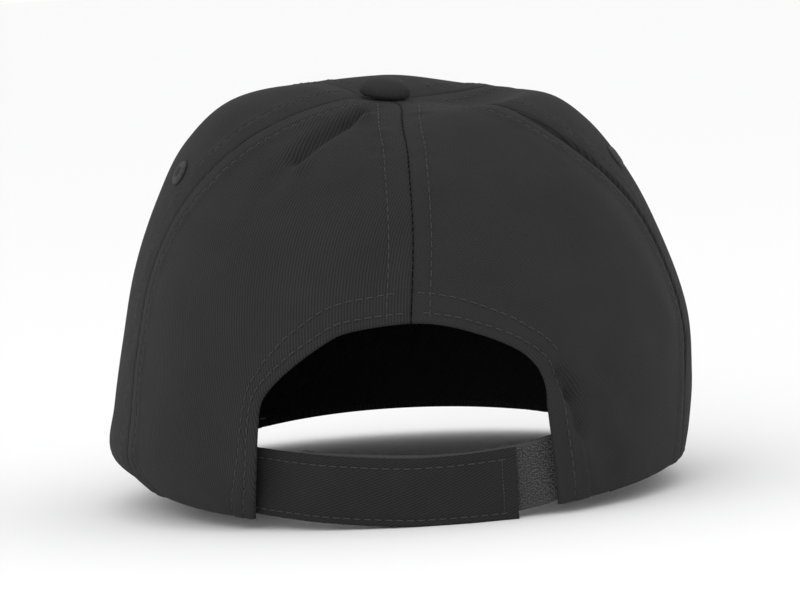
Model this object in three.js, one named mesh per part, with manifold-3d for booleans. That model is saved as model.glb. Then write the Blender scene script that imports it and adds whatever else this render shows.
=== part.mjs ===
// A five panel cap of cotton twill with a hook and loop strap, resting on its strap and peak.
// Millimetres. +Z is up, the peak points to -Y and the wearer's left is +X.
import * as THREE from "three";
import Module from "manifold-3d";
import { mergeVertices } from "three/addons/utils/BufferGeometryUtils.js";

// Crown: the plan of its rim, and its height at the button
const crownHalfWidth = 86;
const crownBackReach = 98;
const crownFrontReach = 101;
const crownHeight = 119.5;
const planPower = 2.12; // 2 is an ellipse, more is squarer
const rimHeight = { back: 1.5, left: 8, front: 19, right: 9 };
const buttonLean = { x: 1, y: 9 }; // how far the button sits off the rim's centre
const panelPuff = 1.8; // how far the middle of a panel swells out between its seams

// Cloth and the gap left in each seam
const clothThickness = 1.6;
const seamGap = 0.3;

// Back opening: its height above the rim, and its half widths halfway up
const openingHeight = 56.8;
const openingLeft = 45;
const openingRight = 38.1;

// Main folds: the width and depth that the table of folds takes its shares of
const foldWidth = 8;
const foldDepth = 2;

// Sweatband, with its ends in degrees round from the back
const sweatbandHeight = 28;
const sweatbandThickness = 1.2;
const sweatbandEnds = { left: 42, right: -38 };

// Strap and loop tab, with their ends in degrees round from the back
const strapHeight = 19.6;
const strapEndFuller = 1.2; // how much higher the folded free end is
const strapThickness = 2;
const strapEnds = { sewn: 37, free: -17 };
const strapFlatFrom = 1; // it lies flat on the ground from here to its free end
const strapRise = 5.6; // how much its sewn end is lifted
const strapBow = 2; // how far it bows out between the panels
const strapBowRun = 12; // degrees that the bow takes to build up
const tabHeight = 19.4;
const tabThickness = 1.8;
const tabEnds = { sewn: -33, free: 21 };
const tabLowestAt = -3;
const tabLift = 0.9;
const tabRise = { sewn: 5.4, free: 2.7 };
const sewnEndClearance = 0.6; // between a back panel and the band sewn behind it

// Peak
const peakHalfWidth = 80;
const peakLength = 70; // from the front rim to the tip
const peakThickness = 3;
const peakWidestAhead = 85; // its widest place, ahead of the rim's centre
const peakRimTurn = 56; // degrees of the rim that each half is sewn to
const peakEdgeTurn = 112; // degrees that each half of the outer edge turns through
const peakTipHeight = 14;

// Covered button on its shank, clenched inside the crown
const buttonDiameter = 15.5;
const buttonHeight = 6.4;
const buttonSeat = 1.6; // its underside above the crown's height
const shankClearance = 0.5;
const clenchDiameter = 8.8;
const clenchThickness = 0.8;
const clenchClearance = 0.2;
const buttonSlope = { left: 0.17, front: 0.09 }; // how it rises to each side, as the cloth does

// Eyelets
const eyeletDiameter = 7.8;
const eyeletHole = 3;
const eyeletNeck = 5;
const eyeletProud = 1;
const eyeletSeat = 0.45; // clear of the curved cloth under its ring
const eyeletPlaces = {
  left: { panel: "sideLeft", turn: 73, ring: 5.5 },
  right: { panel: "sideRight", turn: 281, ring: 5.35 },
};

// The crown's profile on each side, a row for each ring from the rim to the button.
// out is a share of the plan's reach, up a share of the height from the rim to the button.
const crownRings = [
  { back: { out: 1.0, up: 0 }, left: { out: 0.93, up: 0 },
    front: { out: 0.995, up: 0 }, right: { out: 0.99, up: 0 } },
  { back: { out: 1.01, up: 0.12 }, left: { out: 1.04, up: 0.085 },
    front: { out: 1.0, up: 0.12 }, right: { out: 1.005, up: 0.085 } },
  { back: { out: 0.985, up: 0.27 }, left: { out: 1.015, up: 0.21 },
    front: { out: 0.975, up: 0.28 }, right: { out: 1.02, up: 0.21 } },
  { back: { out: 0.935, up: 0.43 }, left: { out: 0.97, up: 0.38 },
    front: { out: 0.94, up: 0.46 }, right: { out: 1.015, up: 0.38 } },
  { back: { out: 0.855, up: 0.6 }, left: { out: 0.91, up: 0.57 },
    front: { out: 0.885, up: 0.66 }, right: { out: 0.945, up: 0.57 } },
  { back: { out: 0.735, up: 0.755 }, left: { out: 0.808, up: 0.765 },
    front: { out: 0.82, up: 0.84 }, right: { out: 0.84, up: 0.75 } },
  { back: { out: 0.575, up: 0.868 }, left: { out: 0.698, up: 0.915 },
    front: { out: 0.71, up: 0.988 }, right: { out: 0.698, up: 0.911 } },
  { back: { out: 0.385, up: 0.94 }, left: { out: 0.525, up: 1.023 },
    front: { out: 0.53, up: 1.031 }, right: { out: 0.54, up: 0.996 } },
  { back: { out: 0.2, up: 0.985 }, left: { out: 0.255, up: 1.053 },
    front: { out: 0.28, up: 1.068 }, right: { out: 0.325, up: 0.968 } },
  { back: { out: 0.03, up: 1.006 }, left: { out: 0.03, up: 1.006 },
    front: { out: 0.03, up: 1.006 }, right: { out: 0.03, up: 1.006 } },
];
const lastRing = crownRings.length - 1;
const ringValues = {};
for (const side of Object.keys(rimHeight)) {
  ringValues[side] = {
    out: crownRings.map((row) => row[side].out),
    up: crownRings.map((row) => row[side].up),
  };
}

// The seams, in degrees round from the back, a row for every one and a half rings.
const seamStep = 1.5;
const seamRows = [
  { back: 0, sideLeft: 66, frontLeft: 133, frontRight: 227, sideRight: 294 },
  { back: 0, sideLeft: 66.5, frontLeft: 134, frontRight: 226, sideRight: 292.5 },
  { back: 0, sideLeft: 68.8, frontLeft: 135.5, frontRight: 225, sideRight: 288 },
  { back: -2.2, sideLeft: 67.2, frontLeft: 136, frontRight: 225, sideRight: 290.2 },
  { back: -4, sideLeft: 53.5, frontLeft: 136, frontRight: 226, sideRight: 305.4 },
  { back: -8, sideLeft: 42, frontLeft: 134, frontRight: 229, sideRight: 308.2 },
  { back: -25, sideLeft: 44, frontLeft: 130, frontRight: 230, sideRight: 298 },
];
const fullTurn = 360;

// The two seams of each panel. The last panel closes the turn at the back seam.
const panelSeams = {
  backLeft: { from: "back", to: "sideLeft", beyond: 0 },
  sideLeft: { from: "sideLeft", to: "frontLeft", beyond: 0 },
  front: { from: "frontLeft", to: "frontRight", beyond: 0 },
  sideRight: { from: "frontRight", to: "sideRight", beyond: 0 },
  backRight: { from: "sideRight", to: "back", beyond: fullTurn },
};

// The opening's edge, from the rim up to the centre seam: shares of its height and half widths.
const openingRows = [
  { up: 0, left: 1.065, right: 1.055 },
  { up: 0.23, left: 1.035, right: 1.03 },
  { up: 0.48, left: 1.0, right: 1.0 },
  { up: 0.61, left: 0.965, right: 0.992 },
  { up: 0.71, left: 0.865, right: 0.94 },
  { up: 0.8, left: 0.735, right: 0.82 },
  { up: 0.88, left: 0.595, right: 0.62 },
  { up: 0.95, left: 0.44, right: 0.37 },
  { up: 0.985, left: 0.22, right: 0.18 },
  { up: 1, left: 0, right: 0 },
];

// Main folds: a line on one panel, with shares of the fold's width and depth. A dent is negative.
const folds = [
  { panel: "backRight", from: { turn: 332.8, ring: 2.6 }, to: { turn: 331, ring: 1.95 },
    wide: 0.36, deep: -1.1 },
  { panel: "backRight", from: { turn: 331, ring: 1.9 }, to: { turn: 330.2, ring: 1.3 },
    wide: 0.28, deep: -0.2 },
  { panel: "backRight", from: { turn: 330.5, ring: 2.5 }, to: { turn: 325, ring: 1.6 },
    wide: 0.45, deep: 0.35 },
  { panel: "backRight", from: { turn: 328, ring: 1.75 }, to: { turn: 323.5, ring: 0.5 },
    wide: 0.65, deep: -0.6 },
  { panel: "backRight", from: { turn: 314, ring: 5.8 }, to: { turn: 298, ring: 3 },
    wide: 0.9, deep: 0.55 },
  { panel: "backLeft", from: { turn: 14, ring: 7.5 }, to: { turn: 27.5, ring: 5.8 },
    wide: 0.28, deep: 0.6 },
  { panel: "backLeft", from: { turn: 19.5, ring: 7.6 }, to: { turn: 30, ring: 6 },
    wide: 0.45, deep: -1.1 },
  { panel: "backLeft", from: { turn: 36, ring: 2.6 }, to: { turn: 37, ring: 1.6 },
    wide: 1.1, deep: -0.5 },
];

// The underside of the peak's outer edge, from the tip to the corner, as shares of its tip's height.
const peakEdgeRows = [
  { up: 1 },
  { up: 0.82 },
  { up: 0.38 },
  { up: 0 },
  { up: 0.62 },
];

// The button's section, from the rim of its underside to its top.
const buttonRows = [
  { out: 0.8, up: 0 },
  { out: 0.96, up: 0.14 },
  { out: 1, up: 0.36 },
  { out: 0.94, up: 0.6 },
  { out: 0.76, up: 0.82 },
  { out: 0.42, up: 0.96 },
  { out: 0, up: 1 },
];

// How finely each piece is divided
const panelRows = 20;
const openingColumns = 10;
const rimColumns = 5;
const sideColumns = 10;
const frontColumns = 16;
const sweatbandColumns = 30;
const sweatbandRows = 3;
const bandColumns = 24;
const peakColumns = 30;
const peakRows = 5;
const roundSides = 20;

// Colours of the twill and of the paler loop tape
const twillColour = "#333334";
const loopColour = "#434344";

const { lerp, degToRad, radToDeg, smoothstep } = THREE.MathUtils;
const wasm = await Module();
wasm.setup();

// A smooth curve through equally spaced values, at a place counted in steps.
function smoothAt(values, place) {
  const last = values.length - 1;
  const i = Math.min(Math.max(Math.floor(place), 0), last - 1);
  const f = place - i;
  const b = values[i];
  const c = values[i + 1];
  const a = i > 0 ? values[i - 1] : 2 * b - c;
  const d = i < last - 1 ? values[i + 2] : 2 * c - b;
  const cubic = (3 * b - a - 3 * c + d) * f ** 3 + (2 * a - 5 * b + 4 * c - d) * f ** 2;
  return (cubic + (c - a) * f + 2 * b) / 2;
}

// The value between low and high at which a rising measure reaches its goal.
function solve(measure, goal, low, high) {
  const halvings = 30;
  for (let i = 0; i < halvings; i += 1) {
    const middle = (low + high) / 2;
    if (measure(middle) < goal) low = middle;
    else high = middle;
  }
  return (low + high) / 2;
}

// How much the profile of each side counts at an angle round from the back.
function sideWeights(angle) {
  const s = Math.sin(angle);
  const c = Math.cos(angle);
  return {
    back: c > 0 ? c * c : 0,
    left: s > 0 ? s * s : 0,
    front: c > 0 ? 0 : c * c,
    right: s > 0 ? 0 : s * s,
  };
}

// A value blended from the four sides.
function blendSides(turn, valueOf) {
  const weights = sideWeights(degToRad(turn));
  const sides = Object.keys(weights).filter((side) => weights[side] > 0);
  return sides.reduce((sum, side) => sum + weights[side] * valueOf(side), 0);
}

// The height of the rim over the ground.
function rimHeightAt(turn) {
  return blendSides(turn, (side) => rimHeight[side]);
}

// How far the rim's plan reaches, before the profile's share.
function planReach(turn) {
  const angle = degToRad(turn);
  const reach = Math.cos(angle) > 0 ? crownBackReach : crownFrontReach;
  const across = Math.abs(Math.sin(angle)) / crownHalfWidth;
  const along = Math.abs(Math.cos(angle)) / reach;
  return (across ** planPower + along ** planPower) ** (-1 / planPower);
}

// The plan radius of the crown's surface.
function crownRadius(turn, ring) {
  return planReach(turn) * blendSides(turn, (side) => smoothAt(ringValues[side].out, ring));
}

// A place in plan, at a radius and a turn round from the back.
function planPoint(turn, radius, height) {
  const angle = degToRad(turn);
  return new THREE.Vector3(radius * Math.sin(angle), radius * Math.cos(angle), height);
}

// A point of the crown's plain surface, which its panels' seams lie on.
function crownPoint(turn, ring) {
  const rim = rimHeightAt(turn);
  const up = blendSides(turn, (side) => smoothAt(ringValues[side].up, ring));
  const point = planPoint(turn, crownRadius(turn, ring), rim + (crownHeight - rim) * up);
  const lean = (ring / lastRing) ** 2;
  point.x += buttonLean.x * lean;
  point.y += buttonLean.y * lean;
  return point;
}

// The outward normal there, from neighbouring points.
function crownNormal(turn, ring) {
  const turnStep = 0.1;
  const ringStep = 0.01;
  const low = Math.max(ring - ringStep, 0);
  const high = Math.min(ring + ringStep, lastRing);
  const round = crownPoint(turn + turnStep, ring).sub(crownPoint(turn - turnStep, ring));
  const rise = crownPoint(turn, high).sub(crownPoint(turn, low));
  return rise.cross(round).normalize();
}

// The ring at which the crown stands a height above the rim.
function ringAtHeight(turn, height) {
  const steepRings = lastRing - 2;
  const goal = rimHeightAt(turn) + height;
  return solve((ring) => crownPoint(turn, ring).z, goal, 0, steepRings);
}

// The turn at which the back of the crown, a height above the rim, lies x to the left.
function turnAtX(x, height) {
  const quarter = 85;
  return solve((turn) => crownPoint(turn, ringAtHeight(turn, height)).x, x, -quarter, quarter);
}

// Where a seam runs.
function seamTurn(seam, ring) {
  return smoothAt(seamRows.map((row) => row[seam]), ring / seamStep);
}

// The turn at a share of a panel's width, with half of the seam's gap kept at each side.
function panelTurn(panel, share, ring) {
  const { from, to, beyond } = panelSeams[panel];
  const start = seamTurn(from, ring);
  const end = seamTurn(to, ring) + beyond;
  const startGap = radToDeg(seamGap / 2 / crownRadius(start, ring));
  const endGap = radToDeg(seamGap / 2 / crownRadius(end, ring));
  return lerp(start + startGap, end - endGap, share);
}

// The share of a panel's width at a turn.
function panelShare(panel, turn, ring) {
  const { from, to, beyond } = panelSeams[panel];
  const start = seamTurn(from, ring);
  return (turn - start) / (seamTurn(to, ring) + beyond - start);
}

const foldLines = folds.map((fold) => ({
  ...fold,
  line: new THREE.Line3(
    crownPoint(fold.from.turn, fold.from.ring),
    crownPoint(fold.to.turn, fold.to.ring),
  ),
}));

// How far a panel stands out from the plain surface: its puff and its folds, none at the seams.
function panelSwell(panel, share, ring, point) {
  const acrossPower = 0.8;
  const upPower = 0.7;
  const upShift = 0.9;
  const across = Math.sin(Math.PI * share) ** acrossPower;
  const upward = Math.sin(Math.PI * (ring / lastRing) ** upShift) ** upPower;
  let swell = panelPuff * across * upward;
  const nearest = new THREE.Vector3();
  for (const { panel: folded, line, wide, deep } of foldLines) {
    if (folded !== panel) continue;
    line.closestPointToPoint(point, true, nearest);
    const away = nearest.distanceTo(point) / (foldWidth * wide);
    swell += foldDepth * deep * across * Math.exp(-away * away);
  }
  return swell;
}

// A place on a panel: its point on the outer face, and the normal there.
function panelPlace(panel, share, ring) {
  const turn = panelTurn(panel, share, ring);
  const normal = crownNormal(turn, ring);
  const plain = crownPoint(turn, ring);
  const swell = panelSwell(panel, share, ring, plain);
  return { point: plain.addScaledVector(normal, swell), normal };
}

// A closed solid between two like grids of points.
function solidBetween(outer, inner) {
  const columns = outer.length;
  const rows = outer[0].length;
  const points = [...outer.flat(), ...inner.flat()];
  const at = (layer, i, j) => layer * columns * rows + i * rows + j;
  const faces = [];
  const quad = (a, b, c, d) => faces.push(a, b, c, a, c, d);
  for (let i = 0; i < columns - 1; i += 1) {
    for (let j = 0; j < rows - 1; j += 1) {
      quad(at(0, i, j), at(0, i + 1, j), at(0, i + 1, j + 1), at(0, i, j + 1));
      quad(at(1, i, j), at(1, i, j + 1), at(1, i + 1, j + 1), at(1, i + 1, j));
    }
    quad(at(0, i + 1, 0), at(0, i, 0), at(1, i, 0), at(1, i + 1, 0));
    quad(at(0, i, rows - 1), at(0, i + 1, rows - 1), at(1, i + 1, rows - 1), at(1, i, rows - 1));
  }
  for (let j = 0; j < rows - 1; j += 1) {
    quad(at(0, 0, j), at(0, 0, j + 1), at(1, 0, j + 1), at(1, 0, j));
    quad(at(0, columns - 1, j + 1), at(0, columns - 1, j), at(1, columns - 1, j),
      at(1, columns - 1, j + 1));
  }
  const geometry = new THREE.BufferGeometry().setFromPoints(points);
  geometry.setIndex(signedVolume(points, faces) > 0 ? faces : faces.reverse());
  geometry.computeVertexNormals();
  return geometry;
}

function signedVolume(points, faces) {
  let volume = 0;
  for (let i = 0; i < faces.length; i += 3) {
    const [a, b, c] = [points[faces[i]], points[faces[i + 1]], points[faces[i + 2]]];
    volume += a.dot(b.clone().cross(c));
  }
  return volume;
}

// A grid of points, one column after another.
function grid(columns, rows, pointAt) {
  return Array.from({ length: columns + 1 }, (_, i) =>
    Array.from({ length: rows + 1 }, (__, j) => pointAt(i / columns, j / rows, i, j)));
}

// A panel's wall, from a function that gives the share and ring of each place in its grid.
function panelSolid(panel, columns, placeAt) {
  const places = grid(columns, panelRows, (across, up, i) => {
    const { share, ring } = placeAt(across, up, i);
    return panelPlace(panel, share, ring);
  });
  const outer = places.map((column) => column.map(({ point }) => point));
  const inner = places.map((column) =>
    column.map(({ point, normal }) => point.clone().addScaledVector(normal, -clothThickness)));
  return solidBetween(outer, inner);
}

function wholePanel(panel, columns) {
  return panelSolid(panel, columns, (across, up) => ({ share: across, ring: up * lastRing }));
}

// The lower edge of a back panel: along the opening from the centre seam, then along the rim.
function backLowerEdge(panel) {
  const left = panel === "backLeft";
  const edge = [];
  const ups = openingRows.map((row) => row.up);
  const outs = openingRows.map((row) => (left ? row.left : -row.right));
  const halfWidth = left ? openingLeft : openingRight;
  for (let i = 0; i <= openingColumns; i += 1) {
    const place = (openingRows.length - 1) * (1 - i / openingColumns);
    const height = openingHeight * smoothAt(ups, place);
    const turn = turnAtX(halfWidth * smoothAt(outs, place), height);
    const ring = ringAtHeight(turn, height);
    edge.push({ share: panelShare(panel, left ? turn : turn + fullTurn, ring), ring });
  }
  const seamShare = left ? 0 : 1;
  edge[0].share = seamShare;
  const corner = edge[openingColumns].share;
  edge[openingColumns].ring = 0;
  for (let i = 1; i <= rimColumns; i += 1) {
    edge.push({ share: lerp(corner, 1 - seamShare, i / rimColumns), ring: 0 });
  }
  return edge;
}

// A back panel: straight runs, in share and ring, from its lower edge to the top.
function backPanel(panel) {
  const edge = backLowerEdge(panel);
  const columns = edge.length - 1;
  return panelSolid(panel, columns, (across, up, i) => ({
    share: lerp(edge[i].share, panel === "backLeft" ? across : 1 - across, up),
    ring: lerp(edge[i].ring, lastRing, up),
  }));
}

function sweatband() {
  const face = (inset) => grid(sweatbandColumns, sweatbandRows, (across, up) => {
    const turn = lerp(sweatbandEnds.left, sweatbandEnds.right + fullTurn, across);
    const ring = ringAtHeight(turn, sweatbandHeight) * up;
    return crownPoint(turn, ring).addScaledVector(crownNormal(turn, ring), -inset);
  });
  const outerInset = clothThickness + seamGap;
  return solidBetween(face(outerInset), face(outerInset + sweatbandThickness));
}

// The strap lies behind its panel at the sewn end and bows out between the panels.
const sewnInset = clothThickness + sewnEndClearance;
const openingTurnLeft = turnAtX(openingLeft, openingHeight / 2);

function strapInset(turn) {
  const bowed = smoothstep(-turn, -openingTurnLeft, strapBowRun - openingTurnLeft);
  return sewnInset - strapBow * bowed;
}

function strapBottom(turn) {
  const risePower = 1.15;
  const share = Math.max(turn - strapFlatFrom, 0) / (strapEnds.sewn - strapFlatFrom);
  return strapRise * share ** risePower;
}

function strapTop(turn) {
  const towardsEnd = Math.max(strapFlatFrom - turn, 0) / (strapFlatFrom - strapEnds.free);
  return strapBottom(turn) + strapHeight + strapEndFuller * towardsEnd ** 2;
}

// The tab lies inside the strap, and behind its own panel.
function tabInset(turn) {
  return Math.max(strapInset(turn) + strapThickness + seamGap, sewnInset);
}

function tabBottom(turn) {
  const sewnPower = 2.2;
  const freePower = 1.3;
  const toSewn = Math.max(tabLowestAt - turn, 0) / (tabLowestAt - tabEnds.sewn);
  const toFree = Math.max(turn - tabLowestAt, 0) / (tabEnds.free - tabLowestAt);
  return tabLift + tabRise.sewn * toSewn ** sewnPower + tabRise.free * toFree ** freePower;
}

// An upright band that follows the plan of the rim, at an inset from it.
function band({ ends, inset, bottom, top, thickness }) {
  const face = (depth) => grid(bandColumns, 2, (across, up) => {
    const turn = lerp(ends.sewn, ends.free, across);
    const height = lerp(bottom(turn), top(turn), up);
    return planPoint(turn, crownRadius(turn, 0) - inset(turn) - depth, height);
  });
  return solidBetween(face(0), face(thickness));
}

// The peak: straight runs from under the rim to its outer edge, which arches down at its sides.
function peak() {
  const ups = peakEdgeRows.map((row) => row.up);
  const lengthAhead = crownFrontReach + peakLength - peakWidestAhead;
  const underside = grid(peakColumns, peakRows, (across, out) => {
    const side = 2 * across - 1;
    const rimTurn = fullTurn / 2 - side * peakRimTurn;
    const rimRadius = crownRadius(rimTurn, 0) - clothThickness;
    const seat = rimHeightAt(rimTurn) - seamGap - peakThickness;
    const inner = planPoint(rimTurn, rimRadius, seat);
    const edgeAngle = degToRad(side * peakEdgeTurn);
    const edgeHeight = peakTipHeight * smoothAt(ups, Math.abs(side) * (ups.length - 1));
    const outer = new THREE.Vector3(
      peakHalfWidth * Math.sin(edgeAngle),
      -peakWidestAhead - lengthAhead * Math.cos(edgeAngle),
      Math.max(edgeHeight, 0),
    );
    return inner.lerp(outer, out);
  });
  const rise = new THREE.Vector3(0, 0, peakThickness);
  const top = underside.map((column) => column.map((point) => point.clone().add(rise)));
  return solidBetween(top, underside);
}

// A turned solid round +Z, from a profile of radii and heights.
function turned(profile) {
  const points = profile.map(({ radius, height }) => new THREE.Vector2(radius, height));
  return new THREE.LatheGeometry(points, roundSides).rotateX(Math.PI / 2);
}

function button() {
  const radius = buttonDiameter / 2;
  const holeRadius = crownRadius(fullTurn / 4, lastRing);
  const shankRadius = holeRadius - shankClearance;
  const clenchTop = -clothThickness - clenchClearance;
  const dome = buttonRows.map(({ out, up }) => ({
    radius: radius * out,
    height: buttonSeat + buttonHeight * up,
  }));
  const axis = new THREE.Vector3(-buttonSlope.left, buttonSlope.front, 1).normalize();
  const tilt = new THREE.Quaternion().setFromUnitVectors(new THREE.Vector3(0, 0, 1), axis);
  return turned([
    { radius: 0, height: clenchTop - clenchThickness },
    { radius: clenchDiameter / 2, height: clenchTop - clenchThickness },
    { radius: clenchDiameter / 2, height: clenchTop },
    { radius: shankRadius, height: clenchTop },
    { radius: shankRadius, height: buttonSeat },
    ...dome,
  ]).applyQuaternion(tilt).translate(buttonLean.x, buttonLean.y, crownHeight);
}

// Where an eyelet's axis meets the outer face of its panel, and the turn from +Z to that axis.
function eyeletFrame({ panel, turn, ring }) {
  const { point, normal } = panelPlace(panel, panelShare(panel, turn, ring), ring);
  const tilt = new THREE.Quaternion().setFromUnitVectors(new THREE.Vector3(0, 0, 1), normal);
  return { point, tilt };
}

function eyelet(place) {
  const { point, tilt } = eyeletFrame(place);
  const holeRadius = eyeletHole / 2;
  const bevel = 0.4;
  const inside = -clothThickness - bevel;
  return turned([
    { radius: holeRadius, height: inside },
    { radius: eyeletNeck / 2, height: inside },
    { radius: eyeletNeck / 2, height: eyeletSeat },
    { radius: eyeletDiameter / 2, height: eyeletSeat },
    { radius: eyeletDiameter / 2 - bevel, height: eyeletProud },
    { radius: holeRadius + bevel, height: eyeletProud },
    { radius: holeRadius, height: eyeletProud - bevel },
    { radius: holeRadius, height: inside },
  ]).applyQuaternion(tilt).translate(point.x, point.y, point.z);
}

// A mesh as a solid that can be cut.
function solidOf(geometry) {
  const plain = geometry.clone();
  plain.deleteAttribute("normal");
  plain.deleteAttribute("uv");
  const merged = mergeVertices(plain);
  return new wasm.Manifold(new wasm.Mesh({
    numProp: 3,
    vertProperties: merged.attributes.position.array,
    triVerts: new Uint32Array(merged.index.array),
  }));
}

// A side panel with the hole that its eyelet's neck goes through.
function sidePanel(panel, place) {
  const { point, tilt } = eyeletFrame(place);
  const holeRadius = eyeletNeck / 2 + seamGap;
  const cutterLength = 6 * clothThickness;
  const cutter = new THREE.CylinderGeometry(holeRadius, holeRadius, cutterLength, roundSides)
    .rotateX(Math.PI / 2)
    .applyQuaternion(tilt)
    .translate(point.x, point.y, point.z);
  const cut = solidOf(wholePanel(panel, sideColumns)).subtract(solidOf(cutter)).getMesh();
  const geometry = new THREE.BufferGeometry();
  geometry.setAttribute("position", new THREE.BufferAttribute(cut.vertProperties, 3));
  geometry.setIndex(new THREE.BufferAttribute(cut.triVerts, 1));
  geometry.computeVertexNormals();
  return geometry;
}

const cap = new THREE.Group();

function addPiece(name, geometry, color, roughness) {
  const material = new THREE.MeshStandardMaterial({ color, roughness, metalness: 0 });
  const mesh = new THREE.Mesh(geometry, material);
  mesh.name = name;
  cap.add(mesh);
}

const clothRoughness = 0.9;
const loopRoughness = 1;
addPiece("front_panel", wholePanel("front", frontColumns), twillColour, clothRoughness);
addPiece("side_panel_left", sidePanel("sideLeft", eyeletPlaces.left), twillColour, clothRoughness);
addPiece("side_panel_right", sidePanel("sideRight", eyeletPlaces.right), twillColour, clothRoughness);
addPiece("back_panel_left", backPanel("backLeft"), twillColour, clothRoughness);
addPiece("back_panel_right", backPanel("backRight"), twillColour, clothRoughness);
addPiece("sweatband", sweatband(), twillColour, clothRoughness);
addPiece("peak", peak(), twillColour, clothRoughness);
addPiece("button", button(), twillColour, clothRoughness);
addPiece("eyelet_left", eyelet(eyeletPlaces.left), twillColour, clothRoughness);
addPiece("eyelet_right", eyelet(eyeletPlaces.right), twillColour, clothRoughness);
addPiece("strap", band({
  ends: strapEnds,
  inset: strapInset,
  bottom: strapBottom,
  top: strapTop,
  thickness: strapThickness,
}), twillColour, clothRoughness);
addPiece("loop_tab", band({
  ends: tabEnds,
  inset: tabInset,
  bottom: tabBottom,
  top: (turn) => tabBottom(turn) + tabHeight,
  thickness: tabThickness,
}), loopColour, loopRoughness);

// The origin is under the middle of the whole cap, where it rests.
const box = new THREE.Box3().setFromObject(cap);
const middle = box.getCenter(new THREE.Vector3());
cap.position.set(-middle.x, -middle.y, -box.min.z);

export default cap;
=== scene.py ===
# %% [markdown]
# # A five panel cap of cotton twill
#
# The cap is sewn from five cloth panels: two at the back with an arched opening, one at each
# side and a broad one at the front. A hook and loop strap crosses the opening, a curved peak
# is sewn under the front, and a covered button closes the top.
#
# The fixed model gives every piece its place, so each cloth piece here is built on the same
# surface as its solid and only adds what cloth and thread have: rolled edges, seam valleys,
# stitching, twill and small dents. All sizes are in millimetres until a mesh is made.

# %% Load the fixed model
import math

import bpy
import numpy as np
from mathutils import Matrix, Vector


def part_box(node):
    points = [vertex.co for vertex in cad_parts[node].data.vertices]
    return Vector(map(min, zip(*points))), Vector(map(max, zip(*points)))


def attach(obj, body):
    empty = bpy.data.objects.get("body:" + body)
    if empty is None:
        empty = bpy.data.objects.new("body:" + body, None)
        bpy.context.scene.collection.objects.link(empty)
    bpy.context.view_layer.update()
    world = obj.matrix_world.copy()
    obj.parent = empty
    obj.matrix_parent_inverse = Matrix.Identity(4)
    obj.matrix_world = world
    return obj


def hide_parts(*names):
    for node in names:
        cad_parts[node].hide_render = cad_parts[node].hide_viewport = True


METRES = 0.001
UP = np.array([0, 0, 1.0])
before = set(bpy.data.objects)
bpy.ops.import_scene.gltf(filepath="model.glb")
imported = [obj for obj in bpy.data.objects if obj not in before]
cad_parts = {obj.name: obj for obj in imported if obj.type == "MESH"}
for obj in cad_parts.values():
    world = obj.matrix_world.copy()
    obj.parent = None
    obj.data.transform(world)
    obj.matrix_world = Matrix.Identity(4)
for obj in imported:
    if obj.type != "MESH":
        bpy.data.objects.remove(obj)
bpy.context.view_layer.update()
print("model nodes:", len(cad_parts))

# %% [markdown]
# ## The crown's surface
#
# A crown could be sculpted by eye, but its panels must meet along shared seams. So the whole
# crown is one smooth surface, read at an angle round from the back and at a ring from the rim
# to the button. Four profiles, at the back, left, front and right, are blended with weights
# that follow the sine and cosine of the angle.

# %% Sizes of the crown
CROWN_HALF_WIDTH = 86.0
CROWN_REACH_BACK = 98.0
CROWN_REACH_FRONT = 101.0
CROWN_HEIGHT = 119.5
PLAN_POWER = 2.12
BUTTON_LEAN = np.array([1.0, 9.0])
PANEL_PUFF = 1.8
CLOTH = 1.6
SEAM_GAP = 0.3
PEAK_LENGTH = 70.0
# The rim at the back, left, front and right.
RIM_HEIGHT = np.array([1.5, 8.0, 19.0, 9.0])

# A row for each ring; columns are the sides in that order. Shares of reach and of height.
RING_OUT = np.array([
    [1.000, 0.930, 0.995, 0.990],
    [1.010, 1.040, 1.000, 1.005],
    [0.985, 1.015, 0.975, 1.020],
    [0.935, 0.970, 0.940, 1.015],
    [0.855, 0.910, 0.885, 0.945],
    [0.735, 0.808, 0.820, 0.840],
    [0.575, 0.698, 0.710, 0.698],
    [0.385, 0.525, 0.530, 0.540],
    [0.200, 0.255, 0.280, 0.325],
    [0.030, 0.030, 0.030, 0.030],
])
RING_UP = np.array([
    [0.000, 0.000, 0.000, 0.000],
    [0.120, 0.085, 0.120, 0.085],
    [0.270, 0.210, 0.280, 0.210],
    [0.430, 0.380, 0.460, 0.380],
    [0.600, 0.570, 0.660, 0.570],
    [0.755, 0.765, 0.840, 0.750],
    [0.868, 0.915, 0.988, 0.911],
    [0.940, 1.023, 1.031, 0.996],
    [0.985, 1.053, 1.068, 0.968],
    [1.006, 1.006, 1.006, 1.006],
])
LAST_RING = len(RING_OUT) - 1


# %% The smooth surface
def smooth_at(rows, place):
    """A smooth curve through equally spaced rows, at places counted in steps."""
    rows = np.asarray(rows, float)
    place = np.asarray(place, float)
    padded = np.concatenate([2 * rows[:1] - rows[1:2], rows, 2 * rows[-1:] - rows[-2:-1]])
    i = np.clip(np.floor(place).astype(int), 0, len(rows) - 2)
    f = place - i
    if rows.ndim == 2:
        f = f[..., None]
    a, b, c, d = (padded[i + k] for k in range(4))
    cubic = (3 * b - a - 3 * c + d) * f**3 + (2 * a - 5 * b + 4 * c - d) * f**2
    return (cubic + (c - a) * f + 2 * b) / 2


def smooth_step(value, low, high):
    share = np.clip((value - low) / (high - low), 0, 1)
    return share * share * (3 - 2 * share)


def side_weights(turn):
    """How much each side's profile counts, at degrees round from the back."""
    s = np.sin(np.radians(turn))
    c = np.cos(np.radians(turn))
    parts = [np.where(c > 0, c * c, 0), np.where(s > 0, s * s, 0)]
    parts += [np.where(c > 0, 0, c * c), np.where(s > 0, 0, s * s)]
    return np.stack(parts, -1)


def rim_height(turn):
    return side_weights(turn) @ RIM_HEIGHT


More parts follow.
